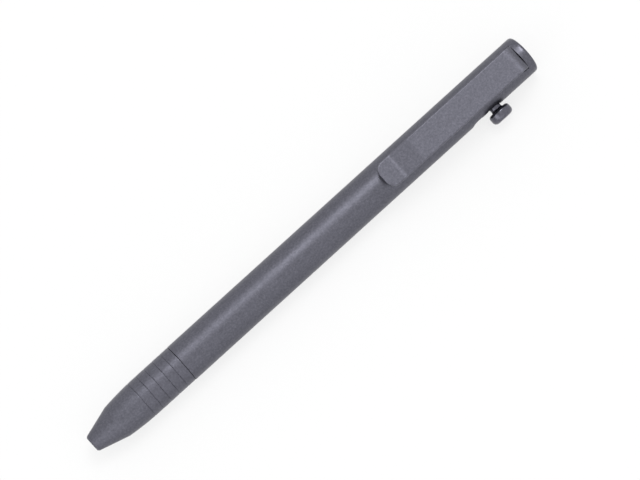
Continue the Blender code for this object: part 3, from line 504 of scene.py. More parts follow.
def mill_arc(station, angle, start, end, steps=SWEEP_STEPS):
    """Give the outline points round an end mill that stands at one station and angle."""
    points = []
    for step in range(steps + 1):
        turn = start + (end - start) * step / steps
        points.append((station + SLOT_HALF * math.cos(turn), SLOT_HALF * math.sin(turn), angle))
    return points


def join_rings(shape, rings):
    """Join rings of corners with faces, each ring to the next."""
    for first, second in zip(rings, rings[1:]):
        for index in range(len(first)):
            shape.faces.new((first[index - 1], first[index], second[index], second[index - 1]))


def sleeve(name, loops):
    """Make a cutter that runs through loops of points and is closed at both ends."""
    shape = bmesh.new()
    rings = [[shape.verts.new(point) for point in loop] for loop in loops]
    join_rings(shape, rings)
    shape.faces.new(rings[0])
    shape.faces.new(rings[-1])
    return mesh_piece(name, shape)


def mill_cutter(name, outline):
    """Make the cut of an end mill that sinks to the pen's axis over an outline."""
    depths = (0, BARREL_RADIUS + CUT_SPARE)
    return sleeve(name, [[mill_place(*point, depth) for point in outline] for depth in depths])


def mill_run(name, first, last, angle):
    """Make the cut of an end mill that runs between two stations."""
    outline = [
        *mill_arc(first, angle, QUARTER_TURN, HALF_TURN + QUARTER_TURN, MILL_SIDES // 2),
        *mill_arc(last, angle, -QUARTER_TURN, QUARTER_TURN, MILL_SIDES // 2),
    ]
    return mill_cutter(name, outline)


def mill_sweep(name, station):
    """Make the cut of an end mill while the barrel turns under it by the bolt's turn."""
    reach = BARREL_RADIUS + CUT_SPARE
    profile = [(0, 0)]
    for step in range(SWEEP_STEPS + 1):
        angle = BOLT_TURN * step / SWEEP_STEPS
        profile.append((-reach * math.cos(angle), -reach * math.sin(angle)))
    ends = (station - SLOT_HALF + SWEEP_SPARE, station + SLOT_HALF - SWEEP_SPARE)
    return sleeve(name, [[(x, across, up) for across, up in profile] for x in ends])


def bolt_slot_cutters():
    """Make the cuts of the bolt's slot: the straight run, the two side notches and the hook."""
    rest_end = mill_arc(STEM_STATION, BOLT_TURN, 0, FULL_TURN, MILL_SIDES)[:-1]
    return [
        mill_run("straight_run", LOCK_STATION, STEM_STATION, 0),
        mill_sweep("lock_notch", LOCK_STATION),
        mill_run("lock_hook", LOCK_STATION, LOCK_STATION + HOOK_DEPTH, BOLT_TURN),
        mill_sweep("rest_notch", STEM_STATION),
        mill_cutter("rest_notch_end", rest_end),
    ]


def bolt_slot_edges(steps=8):
    """Give the two lines that the bolt slot's outer edge follows on the barrel.

    One goes round from the hook to the tongue between the notches, and one along the tongue.
    """
    wall_angle = math.asin(SLOT_HALF / BARREL_RADIUS)
    hook_station = LOCK_STATION + HOOK_DEPTH
    hook_side = -BARREL_RADIUS * math.sin(BOLT_TURN - wall_angle)
    hook_turn = math.asin(hook_side / SLOT_HALF)
    tongue_start = hook_station + SLOT_HALF * math.cos(hook_turn)
    tongue_end = STEM_STATION - SLOT_HALF
    sweep = [BOLT_TURN * step / steps for step in range(1, steps)]
    round_line = [
        *mill_arc(hook_station, BOLT_TURN, hook_turn, QUARTER_TURN),
        *mill_arc(LOCK_STATION, BOLT_TURN, QUARTER_TURN, HALF_TURN),
        *((LOCK_STATION - SLOT_HALF, 0, angle) for angle in reversed(sweep)),
        *mill_arc(LOCK_STATION, 0, HALF_TURN, HALF_TURN + QUARTER_TURN),
        *mill_arc(STEM_STATION, 0, -QUARTER_TURN, 0),
        *((STEM_STATION + SLOT_HALF, 0, angle) for angle in sweep),
        *mill_arc(STEM_STATION, BOLT_TURN, 0, HALF_TURN, 2 * SWEEP_STEPS),
        (tongue_end, 0, (BOLT_TURN + wall_angle) / 2),
        (tongue_end, 0, wall_angle),
    ]
    tongue_line = [(tongue_end, SLOT_HALF, 0), (tongue_start, SLOT_HALF, 0)]
    lines = []
    for outline in (round_line, tongue_line):
        points = []
        for station, side, angle in outline:
            depth = math.sqrt(BARREL_RADIUS ** 2 - side ** 2)
            point = mill_place(station, side, angle, depth)
            if not points or (point - points[-1]).length > SHORTEST_STEP:
                points.append(point)
        lines.append(points)
    return lines


def clip_slot_edges(steps=24):
    """Give the two lines that the clip slot's long outer edges follow."""
    lines = []
    for x in (CLIP_TAB_STATION - CLIP_SLOT_HALF, CLIP_TAB_STATION + CLIP_SLOT_HALF):
        sides = [CLIP_SLOT_SIDE * (2 * step / steps - 1) for step in range(steps + 1)]
        lines.append([Vector((x, y, math.sqrt(BARREL_RADIUS ** 2 - y ** 2))) for y in sides])
    return lines


def edge_cutter(name, line, width, reach):
    """Make the cutter that breaks the edge which a line of points follows on the barrel.

    The cutter goes on past both ends of the line by a reach.
    """
    start = line[0] + (line[0] - line[1]).normalized() * reach
    end = line[-1] + (line[-1] - line[-2]).normalized() * reach
    points = [start, *line, end]
    loops = []
    last = len(points) - 1
    for index, point in enumerate(points):
        run = (points[min(index + 1, last)] - points[max(index - 1, 0)]).normalized()
        out = Vector((0, point.y, point.z)).normalized()
        side = run.cross(out).normalized()
        loops.append([point + corner * width for corner in (out, side, -out, -side)])
    return sleeve(name, loops)


def shoulder_radius(station):
    """Give the grip's radius on its rounded shoulder, which flattens out into the grip."""
    share = min((station - CONE_LENGTH) / SHOULDER_LENGTH, 1)
    return GRIP_RADIUS - (GRIP_RADIUS - CONE_TOP_RADIUS) * (1 - share) ** 2


def clip_line():
    """Give the points of the strap's rounded middle line, and how far along each one lies."""
    path = [(*CLIP_PATH[0], 0)]
    path += [(*corner, bend) for corner, bend in zip(CLIP_PATH[1:], CLIP_BENDS)]
    path.append((*CLIP_PATH[-1], 0))
    line = rounded(path, CLIP_BEND_STEPS)
    distances = [0.0]
    for before, after in zip(line, line[1:]):
        distances.append(distances[-1] + (after - before).length)
    return line, distances


def clip_shape(edge):
    """Loft the clip: rings of points round the strap, set out along its bent middle line."""
    line, distances = clip_line()
    rises = []
    for step in range(CORNER_STEPS + 1):
        angle = QUARTER_TURN * step / CORNER_STEPS
        inset = edge * (1 - math.cos(angle))
        rises.append((inset, CLIP_THICKNESS / 2 - edge + edge * math.sin(angle)))
    rises.append((edge + SUPPORT, CLIP_THICKNESS / 2))
    profile = [(inset, -rise) for inset, rise in reversed(rises)] + rises

    def locate(distance):
        """Give the point of the middle line at a distance along it."""
        for index in range(len(line) - 1):
            if distance <= distances[index + 1] + ROUNDING_ERROR:
                break
        run = (line[index + 1] - line[index]).normalized()
        return line[index] + run * (distance - distances[index])

    def normal_at(distance, reach=0.02):
        """Give the middle line's normal, taken between two points a little apart."""
        back = locate(max(distance - reach, 0))
        ahead = locate(min(distance + reach, distances[-1]))
        run = (ahead - back).normalized()
        return Vector((-run.y, run.x))

    shape = bmesh.new()
    rings = []

    def add_ring(columns):
        """Add one ring from (distance along, half width, rise) down one side and up the other."""
        ring = []
        for side in (1, -1):
            for along, across, rise in columns[::side]:
                spot = locate(along) + normal_at(along) * rise
                ring.append(shape.verts.new((spot.x, side * across, spot.y)))
        rings.append(ring)

    for step in range(CLIP_END_STEPS + 1):
        angle = QUARTER_TURN * step / CLIP_END_STEPS
        columns = []
        for inset, rise in profile:
            reach = CLIP_END_ROUND - inset
            along = CLIP_END_ROUND - reach * math.cos(angle)
            across = CLIP_HALF - CLIP_END_ROUND + reach * math.sin(angle)
            columns.append((along, across, rise))
        add_ring(columns)
    shoulder = distances[-1] - (CLIP_SHOULDER_HEIGHT - CLIP_TAB_END)
    stations = [distance for distance in distances if distance > CLIP_END_ROUND + SHORTEST_STEP]
    for start, end in zip(distances, distances[1:]):
        if start > CLIP_END_ROUND and end - start > 4 * SUPPORT:
            stations += [start + SUPPORT, end - SUPPORT]
    stations += [shoulder - CLIP_SHOULDER_RUN, shoulder + CLIP_SHOULDER_RUN]
    for along in sorted(stations):
        half = CLIP_HALF if along < shoulder else CLIP_TAB_HALF
        add_ring([(along, half - inset, rise) for inset, rise in profile])
    join_rings(shape, rings)
    free_end = rings[0]
    size = len(free_end)
    for index in range(size // 2 - 1):
        other = size - 1 - index
        corners = (free_end[index], free_end[index + 1], free_end[other - 1], free_end[other])
        shape.faces.new(corners)
    shape.faces.new(rings[-1])
    return shape


def make_node(tree, kind, sockets=(), **attributes):
    """Add a shader node, set its attributes, and feed its sockets plain values or links."""
    node = tree.nodes.new("ShaderNode" + kind)
    for name, value in attributes.items():
        setattr(node, name, value)
    for socket, value in dict(sockets).items():
        if isinstance(value, bpy.types.NodeSocket):
            tree.links.new(value, node.inputs[socket])
        else:
            node.inputs[socket].default_value = value
    return node


def math_node(tree, operation, *values):
    """Add a Math node and give its result."""
    return make_node(tree, "Math", enumerate(values), operation=operation).outputs[0]


def range_node(tree, value, low, high, to_low=0, to_high=1):
    """Add a Map Range node that takes a value from one range to another."""
    sockets = {"From Min": low, "From Max": high, "To Min": to_low, "To Max": to_high}
    return make_node(tree, "MapRange", {"Value": value, **sockets}).outputs["Result"]


def noise_node(tree, vector, scale, detail, roughness=0.5):
    """Add a Noise Texture node at a vector."""
    sockets = {"Vector": vector, "Scale": scale, "Detail": detail, "Roughness": roughness}
    return make_node(tree, "TexNoise", sockets).outputs["Fac"]


def new_group(name, settings, results):
    """Start a shared effect: a node group at a Vector, with settings and float results."""
    group = bpy.data.node_groups.new(name, "ShaderNodeTree")
    group.interface.new_socket("Vector", in_out="INPUT", socket_type="NodeSocketVector")
    for setting, value in settings.items():
        made = group.interface.new_socket(setting, in_out="INPUT", socket_type="NodeSocketFloat")
        made.default_value = value
    for result in results:
        group.interface.new_socket(result, in_out="OUTPUT", socket_type="NodeSocketFloat")
    entry = group.nodes.new("NodeGroupInput")
    leave = group.nodes.new("NodeGroupOutput")
    return group, entry.outputs, leave.inputs


def blasted_grain_group():
    """Build the effect of bead blasting: fine pits, and cloudy patches where the beads went."""
    settings = {"Pit Scale": 5600.0, "Patch Scale": 260.0}
    group, entry, leave = new_group("Blasted Grain", settings, ["Pits", "Patches"])
    vector = entry["Vector"]
    fine = noise_node(group, vector, entry["Pit Scale"], detail=2, roughness=0.65)
    coarse_scale = math_node(group, "MULTIPLY", entry["Pit Scale"], COARSE_SHARE)
    coarse = noise_node(group, vector, coarse_scale, detail=1)
    pits = math_node(group, "MULTIPLY", fine, coarse)
    group.links.new(range_node(group, pits, *PIT_LEVELS), leave["Pits"])
    patches = noise_node(group, vector, entry["Patch Scale"], detail=4, roughness=0.6)
    group.links.new(range_node(group, patches, *NOISE_LEVELS), leave["Patches"])


def turned_marks_group():
    """Build the fine rings that a lathe tool leaves round the pen's axis."""
    group, entry, leave = new_group("Turned Marks", {"Ring Scale": 14000.0}, ["Rings"])
    sockets = {0: entry["Vector"], 1: AXIS_PLACE}
    offset = make_node(group, "VectorMath", sockets, operation="SUBTRACT")
    parts = make_node(group, "SeparateXYZ", {0: offset.outputs[0]}).outputs
    square_y = math_node(group, "MULTIPLY", parts["Y"], parts["Y"])
    square_z = math_node(group, "MULTIPLY", parts["Z"], parts["Z"])
    radius = math_node(group, "SQRT", math_node(group, "ADD", square_y, square_z))
    run = math_node(group, "ADD", parts["X"], radius)
    lined = math_node(group, "MULTIPLY", run, entry["Ring Scale"])
    sockets = {"W": lined, "Scale": 1, "Detail": 2}
    noise = make_node(group, "TexNoise", sockets, noise_dimensions="1D")
    group.links.new(range_node(group, noise.outputs["Fac"], *NOISE_LEVELS), leave["Rings"])


def worn_edges_group():
    """Build the mask of edges that handling has rubbed brighter."""
    settings = {"Reach": 0.00012, "Break Scale": 900.0}
    group, entry, leave = new_group("Worn Edges", settings, ["Wear"])
    bevel = make_node(group, "Bevel", {"Radius": entry["Reach"]}, samples=BEVEL_SAMPLES)
    geometry = make_node(group, "NewGeometry")
    sockets = {0: bevel.outputs["Normal"], 1: geometry.outputs["Normal"]}
    dot = make_node(group, "VectorMath", sockets, operation="DOT_PRODUCT")
    edge = range_node(group, dot.outputs["Value"], *EDGE_LEVELS)
    broken = noise_node(group, entry["Vector"], entry["Break Scale"], detail=3)
    patchy = range_node(group, broken, *BREAK_LEVELS, LEAST_WEAR)
    group.links.new(math_node(group, "MULTIPLY", edge, patchy), leave["Wear"])


def use_group(tree, name, vector, **values):
    """Place a shared effect in a material with the material's own values."""
    sockets = {socket.replace("_", " "): value for socket, value in values.items()}
    effect = bpy.data.node_groups[name]
    return make_node(tree, "Group", {"Vector": vector, **sockets}, node_tree=effect).outputs


def start_material(name, **constants):
    """Start a material, and give its shader the values that are the same all over."""
    material = bpy.data.materials.new(name)
    material.use_nodes = True
    tree = material.node_tree
    shader = tree.nodes["Principled BSDF"]
    for socket, value in constants.items():
        shader.inputs[socket.replace("_", " ")].default_value = value
    return material, tree, make_node(tree, "TexCoord").outputs["Object"]


def feed_shader(tree, colour, roughness, height, depth):
    """Feed a material's shader its colour, its roughness and a bump of a depth in millimetres."""
    bump = make_node(tree, "Bump", {"Height": height, "Distance": depth * MM, "Strength": 1.0})
    shader = tree.nodes["Principled BSDF"]
    tree.links.new(colour, shader.inputs["Base Color"])
    tree.links.new(roughness, shader.inputs["Roughness"])
    tree.links.new(bump.outputs["Normal"], shader.inputs["Normal"])


def colour_ramp(tree, value, stops):
    """Add a Color Ramp of (place, colour) stops."""
    node = make_node(tree, "ValToRGB", {"Fac": value})
    elements = node.color_ramp.elements
    while len(elements) < len(stops):
        elements.new(0.5)
    for element, (where, colour) in zip(elements, stops):
        element.position = where
        element.color = (*colour, 1)
    return node.outputs["Color"]


def mix_colours(tree, share, first, second, blend="MIX"):
    """Mix a second colour into a first by a share."""
    sockets = {"Factor": share, 6: first, 7: second}
    return make_node(tree, "Mix", sockets, data_type="RGBA", blend_type=blend).outputs[2]


def shaded(colour, factor):
    """Give a colour made lighter or darker by a factor."""
    return tuple(channel * factor for channel in colour)


def shade_ramp(tree, texture, colour, shades):
    """Shade a colour by a texture, from the first shade to the last."""
    stops = [(place, shaded(colour, shade)) for place, shade in enumerate(shades)]
    return colour_ramp(tree, texture, stops)


def uneven(tree, texture, middle, spread):
    """Give a roughness that a texture spreads about its middle."""
    return range_node(tree, texture, 0, 1, *(middle + share for share in spread))


def along_pen(tree, vector, first, last):
    """Give how far along the pen a point lies, from 0 at one station to 1 at another."""
    parts = make_node(tree, "SeparateXYZ", {0: vector})
    low = NOSE_X + first * MM
    high = NOSE_X + last * MM
    return range_node(tree, parts.outputs["X"], low, high)


def painted_light_bands(tree, vector, colour, bands):
    """Paint a colour lighter or darker in bands along the pen, given as (station, factor), as
    painted highlights or shade.
    """
    first = bands[0][0]
    last = bands[-1][0]
    run = along_pen(tree, vector, first, last)
    stops = [((station - first) / (last - first), (level,) * 3) for station, level in bands]
    return mix_colours(tree, 1, colour, colour_ramp(tree, run, stops), "MULTIPLY")


def blasted_titanium(name, finish, lightness=1.0, bands=None, rubbed=0.0, rim=None):
    """Make the bead-blasted dark titanium of one piece.

    Handling has rubbed it smoother all over by the roughness given as rubbed, and beyond
    the pair of stations given as rim by RUBBED.
    """
    material, tree, vector = start_material(name, Metallic=1.0)
    grain = use_group(tree, "Blasted Grain", vector)
    wear = use_group(tree, "Worn Edges", vector)
    base = shaded(finish.titanium, lightness)
    patches = math_node(tree, "MULTIPLY", grain["Patches"], PATCH_SHARE)
    pits = math_node(tree, "MULTIPLY", grain["Pits"], 1 - PATCH_SHARE)
    stops = [(0, shaded(base, GRAIN_DARK)), (0.5, base), (1, shaded(base, GRAIN_LIGHT))]
    colour = colour_ramp(tree, math_node(tree, "ADD", patches, pits), stops)
    share = math_node(tree, "MULTIPLY", wear["Wear"], finish.edge_wear)
    colour = mix_colours(tree, share, colour, (*shaded(base, WORN_LIGHT), 1))
    # Bands paint highlights along the pen into the colour
    if bands:
        colour = painted_light_bands(tree, vector, colour, bands)
    middle = finish.titanium_roughness - rubbed
    roughness = uneven(tree, grain["Patches"], middle, BLASTED_SPREAD)
    if rim:
        smoother = math_node(tree, "MULTIPLY", along_pen(tree, vector, *rim), RUBBED)
        roughness = math_node(tree, "SUBTRACT", roughness, smoother)
    feed_shader(tree, colour, roughness, grain["Pits"], finish.pit_depth)
    return material


def turned_metal(name, colour, roughness):
    """Make a bare metal with the rings that a lathe leaves."""
    material, tree, vector = start_material(name, Metallic=1.0)
    rings = use_group(tree, "Turned Marks", vector)["Rings"]
    colour = shade_ramp(tree, rings, colour, TURNED_SHADES)
    roughness = uneven(tree, rings, roughness, TURNED_SPREAD)
    feed_shader(tree, colour, roughness, rings, TURNED_DEPTH)
    return material


def moulded(name, colour, roughness, depth, **constants):
    """Make a plastic, rubber or fluid with a slightly uneven skin."""
    material, tree, vector = start_material(name, **constants)
    grain = use_group(tree, "Blasted Grain", vector, Pit_Scale=4000.0, Patch_Scale=400.0)
    colour = shade_ramp(tree, grain["Patches"], colour, MOULDED_SHADES)
    roughness = uneven(tree, grain["Patches"], roughness, MOULDED_SPREAD)
    feed_shader(tree, colour, roughness, grain["Pits"], depth)
    return material


def dress(material, *nodes):
    """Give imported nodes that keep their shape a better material."""
    for node in nodes:
        mesh = frame["nodes"][node].data
        mesh.materials.clear()
        mesh.materials.append(material)


def number(name, description, default, **kind):
    """Declare a setting that is one number."""
    return bpy.props.FloatProperty(name=name, description=description, default=default, **kind)


def tilt(name, description, degrees):
    """Declare a setting that is an angle."""
    return number(name, description, math.radians(degrees), subtype="ANGLE")


def tint(name, description, default):
    """Declare a setting that is a colour."""
    return bpy.props.FloatVectorProperty(
        name=name, description=description, default=default, subtype="COLOR"
    )


class BOLT_PEN_PG_shapes(bpy.types.PropertyGroup):
    """Small sizes of the pen's surfaces, in millimetres."""

    groove_depth: number("Groove Depth", "Depth of the grip's V grooves, in millimetres", 0.12)
    slot_edge: number("Slot Edge", "Width of the broken edge round the slots, in mm", 0.12)
    clip_edge: number("Clip Edge", "Round along the clip's edges, in millimetres", 0.27)
    knob_outer_round: number("Knob Outer Round", "Round of the knob's outer rim, in mm", 1.15)
    knob_inner_round: number("Knob Inner Round", "Round of the knob's inner rim, in mm", 1.2)


class BOLT_PEN_PG_finishes(bpy.types.PropertyGroup):
    """Colours and finishes of the pen's metals."""

    titanium: tint("Titanium", "Colour of the bead-blasted titanium", (0.122, 0.122, 0.147))
    titanium_roughness: number("Titanium Roughness", "Roughness of the blasted skin", 0.42)
    pit_depth: number("Pit Depth", "Depth of the blasted pits, in millimetres", 0.008)
    edge_wear: number(
        "Edge Wear", "How far rubbed edges go towards bare metal", 0.35, subtype="FACTOR"
    )
    bare_titanium: tint("Bare Titanium", "Colour of the turned titanium inside", (0.3, 0.29, 0.28))
    steel: tint("Steel", "Colour of screws and springs", (0.56, 0.56, 0.57))
    nickel_silver: tint("Nickel Silver", "Colour of the refill's point", (0.62, 0.58, 0.5))


class BOLT_PEN_PG_stage(bpy.types.PropertyGroup):
    """Floor, lamps and camera."""

    camera_distance: number("Camera Distance", "From camera to pen", 0.784, unit="LENGTH")
    camera_lens: number("Camera Lens", "Focal length in millimetres", 182.0)
    nose_lead: tilt("Nose Lead", "How far the nose is tipped towards the camera", 6.75)
    side_lead: tilt("Side Lead", "How far the knob's side is tipped towards the camera", 1.9)
    slope: tilt("Slope", "Angle of the pen's axis in the picture, above level", 42.2)
    aim_station: number("Aim Station", "Station at the picture's centre, in mm", 73.85)
    aim_side: number("Aim Side", "From the axis to the picture's centre, in mm", 0.37)
    lamp_level: number("Lamp Level", "Level of all the lamps together", 1.0)
    floor_share: number(
        "Floor Share",
        "How much of the floor's own shading the camera sees",
        0.22,
        subtype="FACTOR",
    )


class BOLT_PEN_OT_build_grip(bpy.types.Operator):
    """Turn the grip section, with its cone, shoulder, V grooves and stepped bore"""

    bl_idname = "bolt_pen.build_grip"
    bl_label = "Grip Section"

    def execute(self, context):
        depth = context.scene.bolt_pen_shapes.groove_depth
        neck = SPIGOT_RADIUS - RING_GROOVE_DEPTH
        corners = [
            (SPIGOT_END, PEN_BORE + SPIGOT_FACE_START, 0),
            (SPIGOT_END, SPIGOT_RADIUS, SPIGOT_ROUND),
            (RING_GROOVE_END, SPIGOT_RADIUS, 0),
            (RING_GROOVE_END, neck, EDGE),
            (RING_GROOVE_START, neck, EDGE),
            (RING_GROOVE_START, SPIGOT_RADIUS, 0),
            (GRIP_LENGTH, SPIGOT_RADIUS, EDGE),
            (GRIP_LENGTH, GRIP_RADIUS, SEAM_ROUND),
            (GRIP_LENGTH - 2 * SEAM_ROUND - SUPPORT, GRIP_RADIUS, 0),
        ]
        for index in reversed(range(GROOVE_COUNT)):
            middle = GROOVE_START + index * GROOVE_PITCH
            for side, depth_share, soft in GROOVE_SHARES:
                station = middle + side * GROOVE_WIDTH / 2
                corners.append((station, shoulder_radius(station) - depth_share * depth, soft))
        top = GROOVE_START - GROOVE_WIDTH
        for step in reversed(range(SHOULDER_STEPS + 1)):
            station = CONE_LENGTH + (top - CONE_LENGTH) * step / SHOULDER_STEPS
            corners.append((station, shoulder_radius(station), 0))
        slope = (CONE_TOP_RADIUS - NOSE_FACE_RADIUS - NOSE_CHAMFER) / (CONE_LENGTH - NOSE_CHAMFER)
        for station in (CONE_LENGTH - SUPPORT, NOSE_CHAMFER + 3 * SUPPORT):
            corners.append((station, CONE_TOP_RADIUS - slope * (CONE_LENGTH - station), 0))
        corners += [
            (NOSE_CHAMFER, NOSE_FACE_RADIUS + NOSE_CHAMFER, NOSE_ROUND),
            (0, NOSE_FACE_RADIUS, 2 * EDGE),
            (0, NOSE_BORE + NOSE_BORE_CHAMFER, FINE_EDGE),
            (NOSE_BORE_CHAMFER, NOSE_BORE, FINE_EDGE),
            (SPRING_SEAT, NOSE_BORE, 0),
            (SPRING_SEAT, SPRING_BORE, 0),
            (SPRING_BORE_END, SPRING_BORE, 0),
            (SPRING_BORE_END + PEN_BORE - SPRING_BORE, PEN_BORE, 0),
            (SPIGOT_END, PEN_BORE, 0),
        ]
        piece = lathe("grip_section_skin", corners, CASING_SIDES)
        material = blasted_titanium("Blasted titanium, grip", context.scene.bolt_pen_finishes)
        place(piece, "barrel", "blasted_titanium", material, "grip_section")
        return {"FINISHED"}


class BOLT_PEN_OT_build_barrel(bpy.types.Operator):
    """Turn the barrel, mill its two slots and break their edges"""

    bl_idname = "bolt_pen.build_barrel"
    bl_label = "Barrel"

    def execute(self, context):
        start = GRIP_LENGTH + SEAM_GAP
        corners = [
            (PEN_LENGTH, PLUG_BORE + FACE_START, 0),
            (PEN_LENGTH, BARREL_RADIUS, RIM_ROUND),
            *((station, BARREL_RADIUS, 0) for station in BARREL_RINGS),
            (start + 2 * SEAM_ROUND + SUPPORT, BARREL_RADIUS, 0),
            (start, BARREL_RADIUS, SEAM_ROUND),
            (start, MOUTH_RADIUS, 0),
            (MOUTH_END, MOUTH_RADIUS, 0),
            (MOUTH_END + MOUTH_RADIUS - SOCKET_RADIUS, SOCKET_RADIUS, 0),
            (SOCKET_END, SOCKET_RADIUS, 0),
            (SOCKET_END + SOCKET_RADIUS - PEN_BORE, PEN_BORE, 0),
            (PLUG_BORE_START, PEN_BORE, 0),
            (PLUG_BORE_START + PLUG_BORE - PEN_BORE, PLUG_BORE, 0),
            (PEN_LENGTH - RIM_CHAMFER, PLUG_BORE, EDGE),
            (PEN_LENGTH, PLUG_BORE + RIM_CHAMFER, EDGE),
            (PEN_LENGTH, PLUG_BORE + FACE_END, 0),
        ]
        piece = lathe("barrel_skin", corners, CASING_SIDES, steps=FINE_CORNER_STEPS)
        width = context.scene.bolt_pen_shapes.slot_edge
        for cutter in bolt_slot_cutters():
            cut(piece, cutter)
        for line in bolt_slot_edges():
            cut(piece, edge_cutter("bolt_slot_edge", line, width, width))
        low = (CLIP_TAB_STATION - CLIP_SLOT_HALF, -CLIP_SLOT_SIDE, CLIP_SLOT_FLOOR)
        high = (CLIP_TAB_STATION + CLIP_SLOT_HALF, CLIP_SLOT_SIDE, BARREL_RADIUS + CUT_SPARE)
        cut(piece, block("clip_slot", low, high))
        for line in clip_slot_edges():
            cut(piece, edge_cutter("clip_slot_edge", line, width * CLIP_SLOT_EDGE_SHARE, width))
        finishes = context.scene.bolt_pen_finishes
        material = blasted_titanium("Blasted titanium, barrel", finishes, rim=RIM_RUBBED)
        place(piece, "barrel", "blasted_titanium", material, "barrel")
        return {"FINISHED"}


class BOLT_PEN_OT_build_clip(bpy.types.Operator):
    """Build the strap clip as one lofted strap with rounded edges and a rounded free end"""

    bl_idname = "bolt_pen.build_clip"
    bl_label = "Clip"

    def execute(self, context):
        piece = mesh_piece("clip_skin", clip_shape(context.scene.bolt_pen_shapes.clip_edge))
        start = CLIP_TAB_STATION - CLIP_THICKNESS * 2
        end = CLIP_TAB_STATION + CLIP_THICKNESS * 2
        cut(piece, rod("clip_hole", start, end, CLIP_HOLE_RADIUS))
        finishes = context.scene.bolt_pen_finishes
        # The clip's bands are painted highlights on its two bends
        material = blasted_titanium("Blasted titanium, clip", finishes, CLIP_LIGHTNESS, CLIP_PAINTED_HIGHLIGHTS)
        place(piece, "clip", "blasted_titanium", material, "clip")
        return {"FINISHED"}


class BOLT_PEN_OT_build_knob(bpy.types.Operator):
    """Turn the bolt's knob and stem about the stem's own axis"""

    bl_idname = "bolt_pen.build_knob"
    bl_label = "Bolt Knob"

    def execute(self, context):
        shapes = context.scene.bolt_pen_shapes
        corners = [
            (KNOB_REACH, 0, 0),
            (KNOB_REACH, KNOB_RADIUS, shapes.knob_outer_round),
            (KNOB_UNDERSIDE, KNOB_RADIUS, shapes.knob_inner_round),
            (KNOB_UNDERSIDE, STEM_RADIUS, KNOB_FILLET),
            (STEM_SEAT, STEM_RADIUS, EDGE),
            (STEM_SEAT, THREAD_RADIUS, 0),
            (THREAD_END + THREAD_CHAMFER, THREAD_RADIUS, 0),
            (THREAD_END, THREAD_RADIUS - THREAD_CHAMFER, 0),
            (THREAD_END, 0, 0),
        ]
        shape = lathe_shape(rounded(corners, FINE_CORNER_STEPS), KNOB_SIDES, False)
        shape.transform(STEM_FRAME)
        piece = mesh_piece("bolt_knob_skin", shape)
        finishes = context.scene.bolt_pen_finishes
        material = blasted_titanium("Blasted titanium, knob", finishes, rubbed=RUBBED)
        place(piece, "bolt", "blasted_titanium", material, "bolt_knob")
        return {"FINISHED"}


class BOLT_PEN_OT_build_cap_end(bpy.types.Operator):
    """Turn the end plug with its spanner holes, and the clip's screw with its socket"""

    bl_idname = "bolt_pen.build_cap_end"
    bl_label = "End Plug and Clip Screw"

    def execute(self, context):
        finishes = context.scene.bolt_pen_finishes
        seat = SCREW_HEAD_RADIUS + SCREW_GAP
        hole = SCREW_RADIUS + SCREW_GAP
        sink = SCREW_NECK - SCREW_GAP
        corners = [
            (PLUG_END, seat + FACE_START, 0),
            (PLUG_END, PLUG_RADIUS - PLUG_CHAMFER, FINE_EDGE),
            (PLUG_END - PLUG_CHAMFER, PLUG_RADIUS, FINE_EDGE),
            (PLUG_START + PLUG_CHAMFER, PLUG_RADIUS, 0),
            (PLUG_START, PLUG_RADIUS - PLUG_CHAMFER, 0),
            (PLUG_START, hole, 0),
            (sink, hole, 0),
            (sink + SCREW_HEAD_RADIUS - SCREW_RADIUS, seat, 0),
            (PLUG_END - SCREW_SEAT_CHAMFER, seat, SCREW_SEAT_ROUND),
            (PLUG_END, seat + SCREW_SEAT_CHAMFER, SCREW_SEAT_ROUND),
        ]
        plug = lathe("end_plug_skin", corners, KNOB_SIDES)
        side = CLIP_TAB_HALF + TAB_GAP
        low = (CLIP_TAB_STATION - CLIP_SLOT_HALF, -side, CLIP_TAB_END - TAB_GAP)
        high = (CLIP_TAB_STATION + CLIP_SLOT_HALF, side, PLUG_RADIUS + CUT_SPARE)
        cut(plug, block("tab_slot", low, high))
        floor = PLUG_END - SPANNER_DEPTH
        top = PLUG_END + CUT_SPARE
        for across in (-SPANNER_REACH, SPANNER_REACH):
            cut(plug, rod("spanner_hole", floor, top, SPANNER_HOLE, across=across))
        bare = turned_metal("Turned titanium, plug", finishes.bare_titanium, roughness=0.34)
        place(plug, "barrel", "turned_titanium", bare, "end_plug")

        corners = [
            (SCREW_TOP, 0, 0),
            (SCREW_TOP, SCREW_HEAD_RADIUS, SCREW_HEAD_ROUND),
            (SCREW_TOP - SCREW_HEAD_RIM, SCREW_HEAD_RADIUS, 0),
            (SCREW_NECK, SCREW_RADIUS, 0),
            (SCREW_TIP + SCREW_CHAMFER, SCREW_RADIUS, 0),
            (SCREW_TIP, SCREW_RADIUS - SCREW_CHAMFER, 0),
            (SCREW_TIP, 0, 0),
        ]
        screw = lathe("clip_screw_skin", corners, INNER_SIDES, closed=False)
        floor = SCREW_TOP - SOCKET_DEPTH
        cut(screw, rod("socket", floor, SCREW_TOP + CUT_SPARE, SOCKET_WIDTH / 2, sides=6))
        steel = turned_metal("Stainless steel, screw", finishes.steel, roughness=0.26)
        place(screw, "barrel", "stainless_steel", steel, "clip_screw")
        return {"FINISHED"}


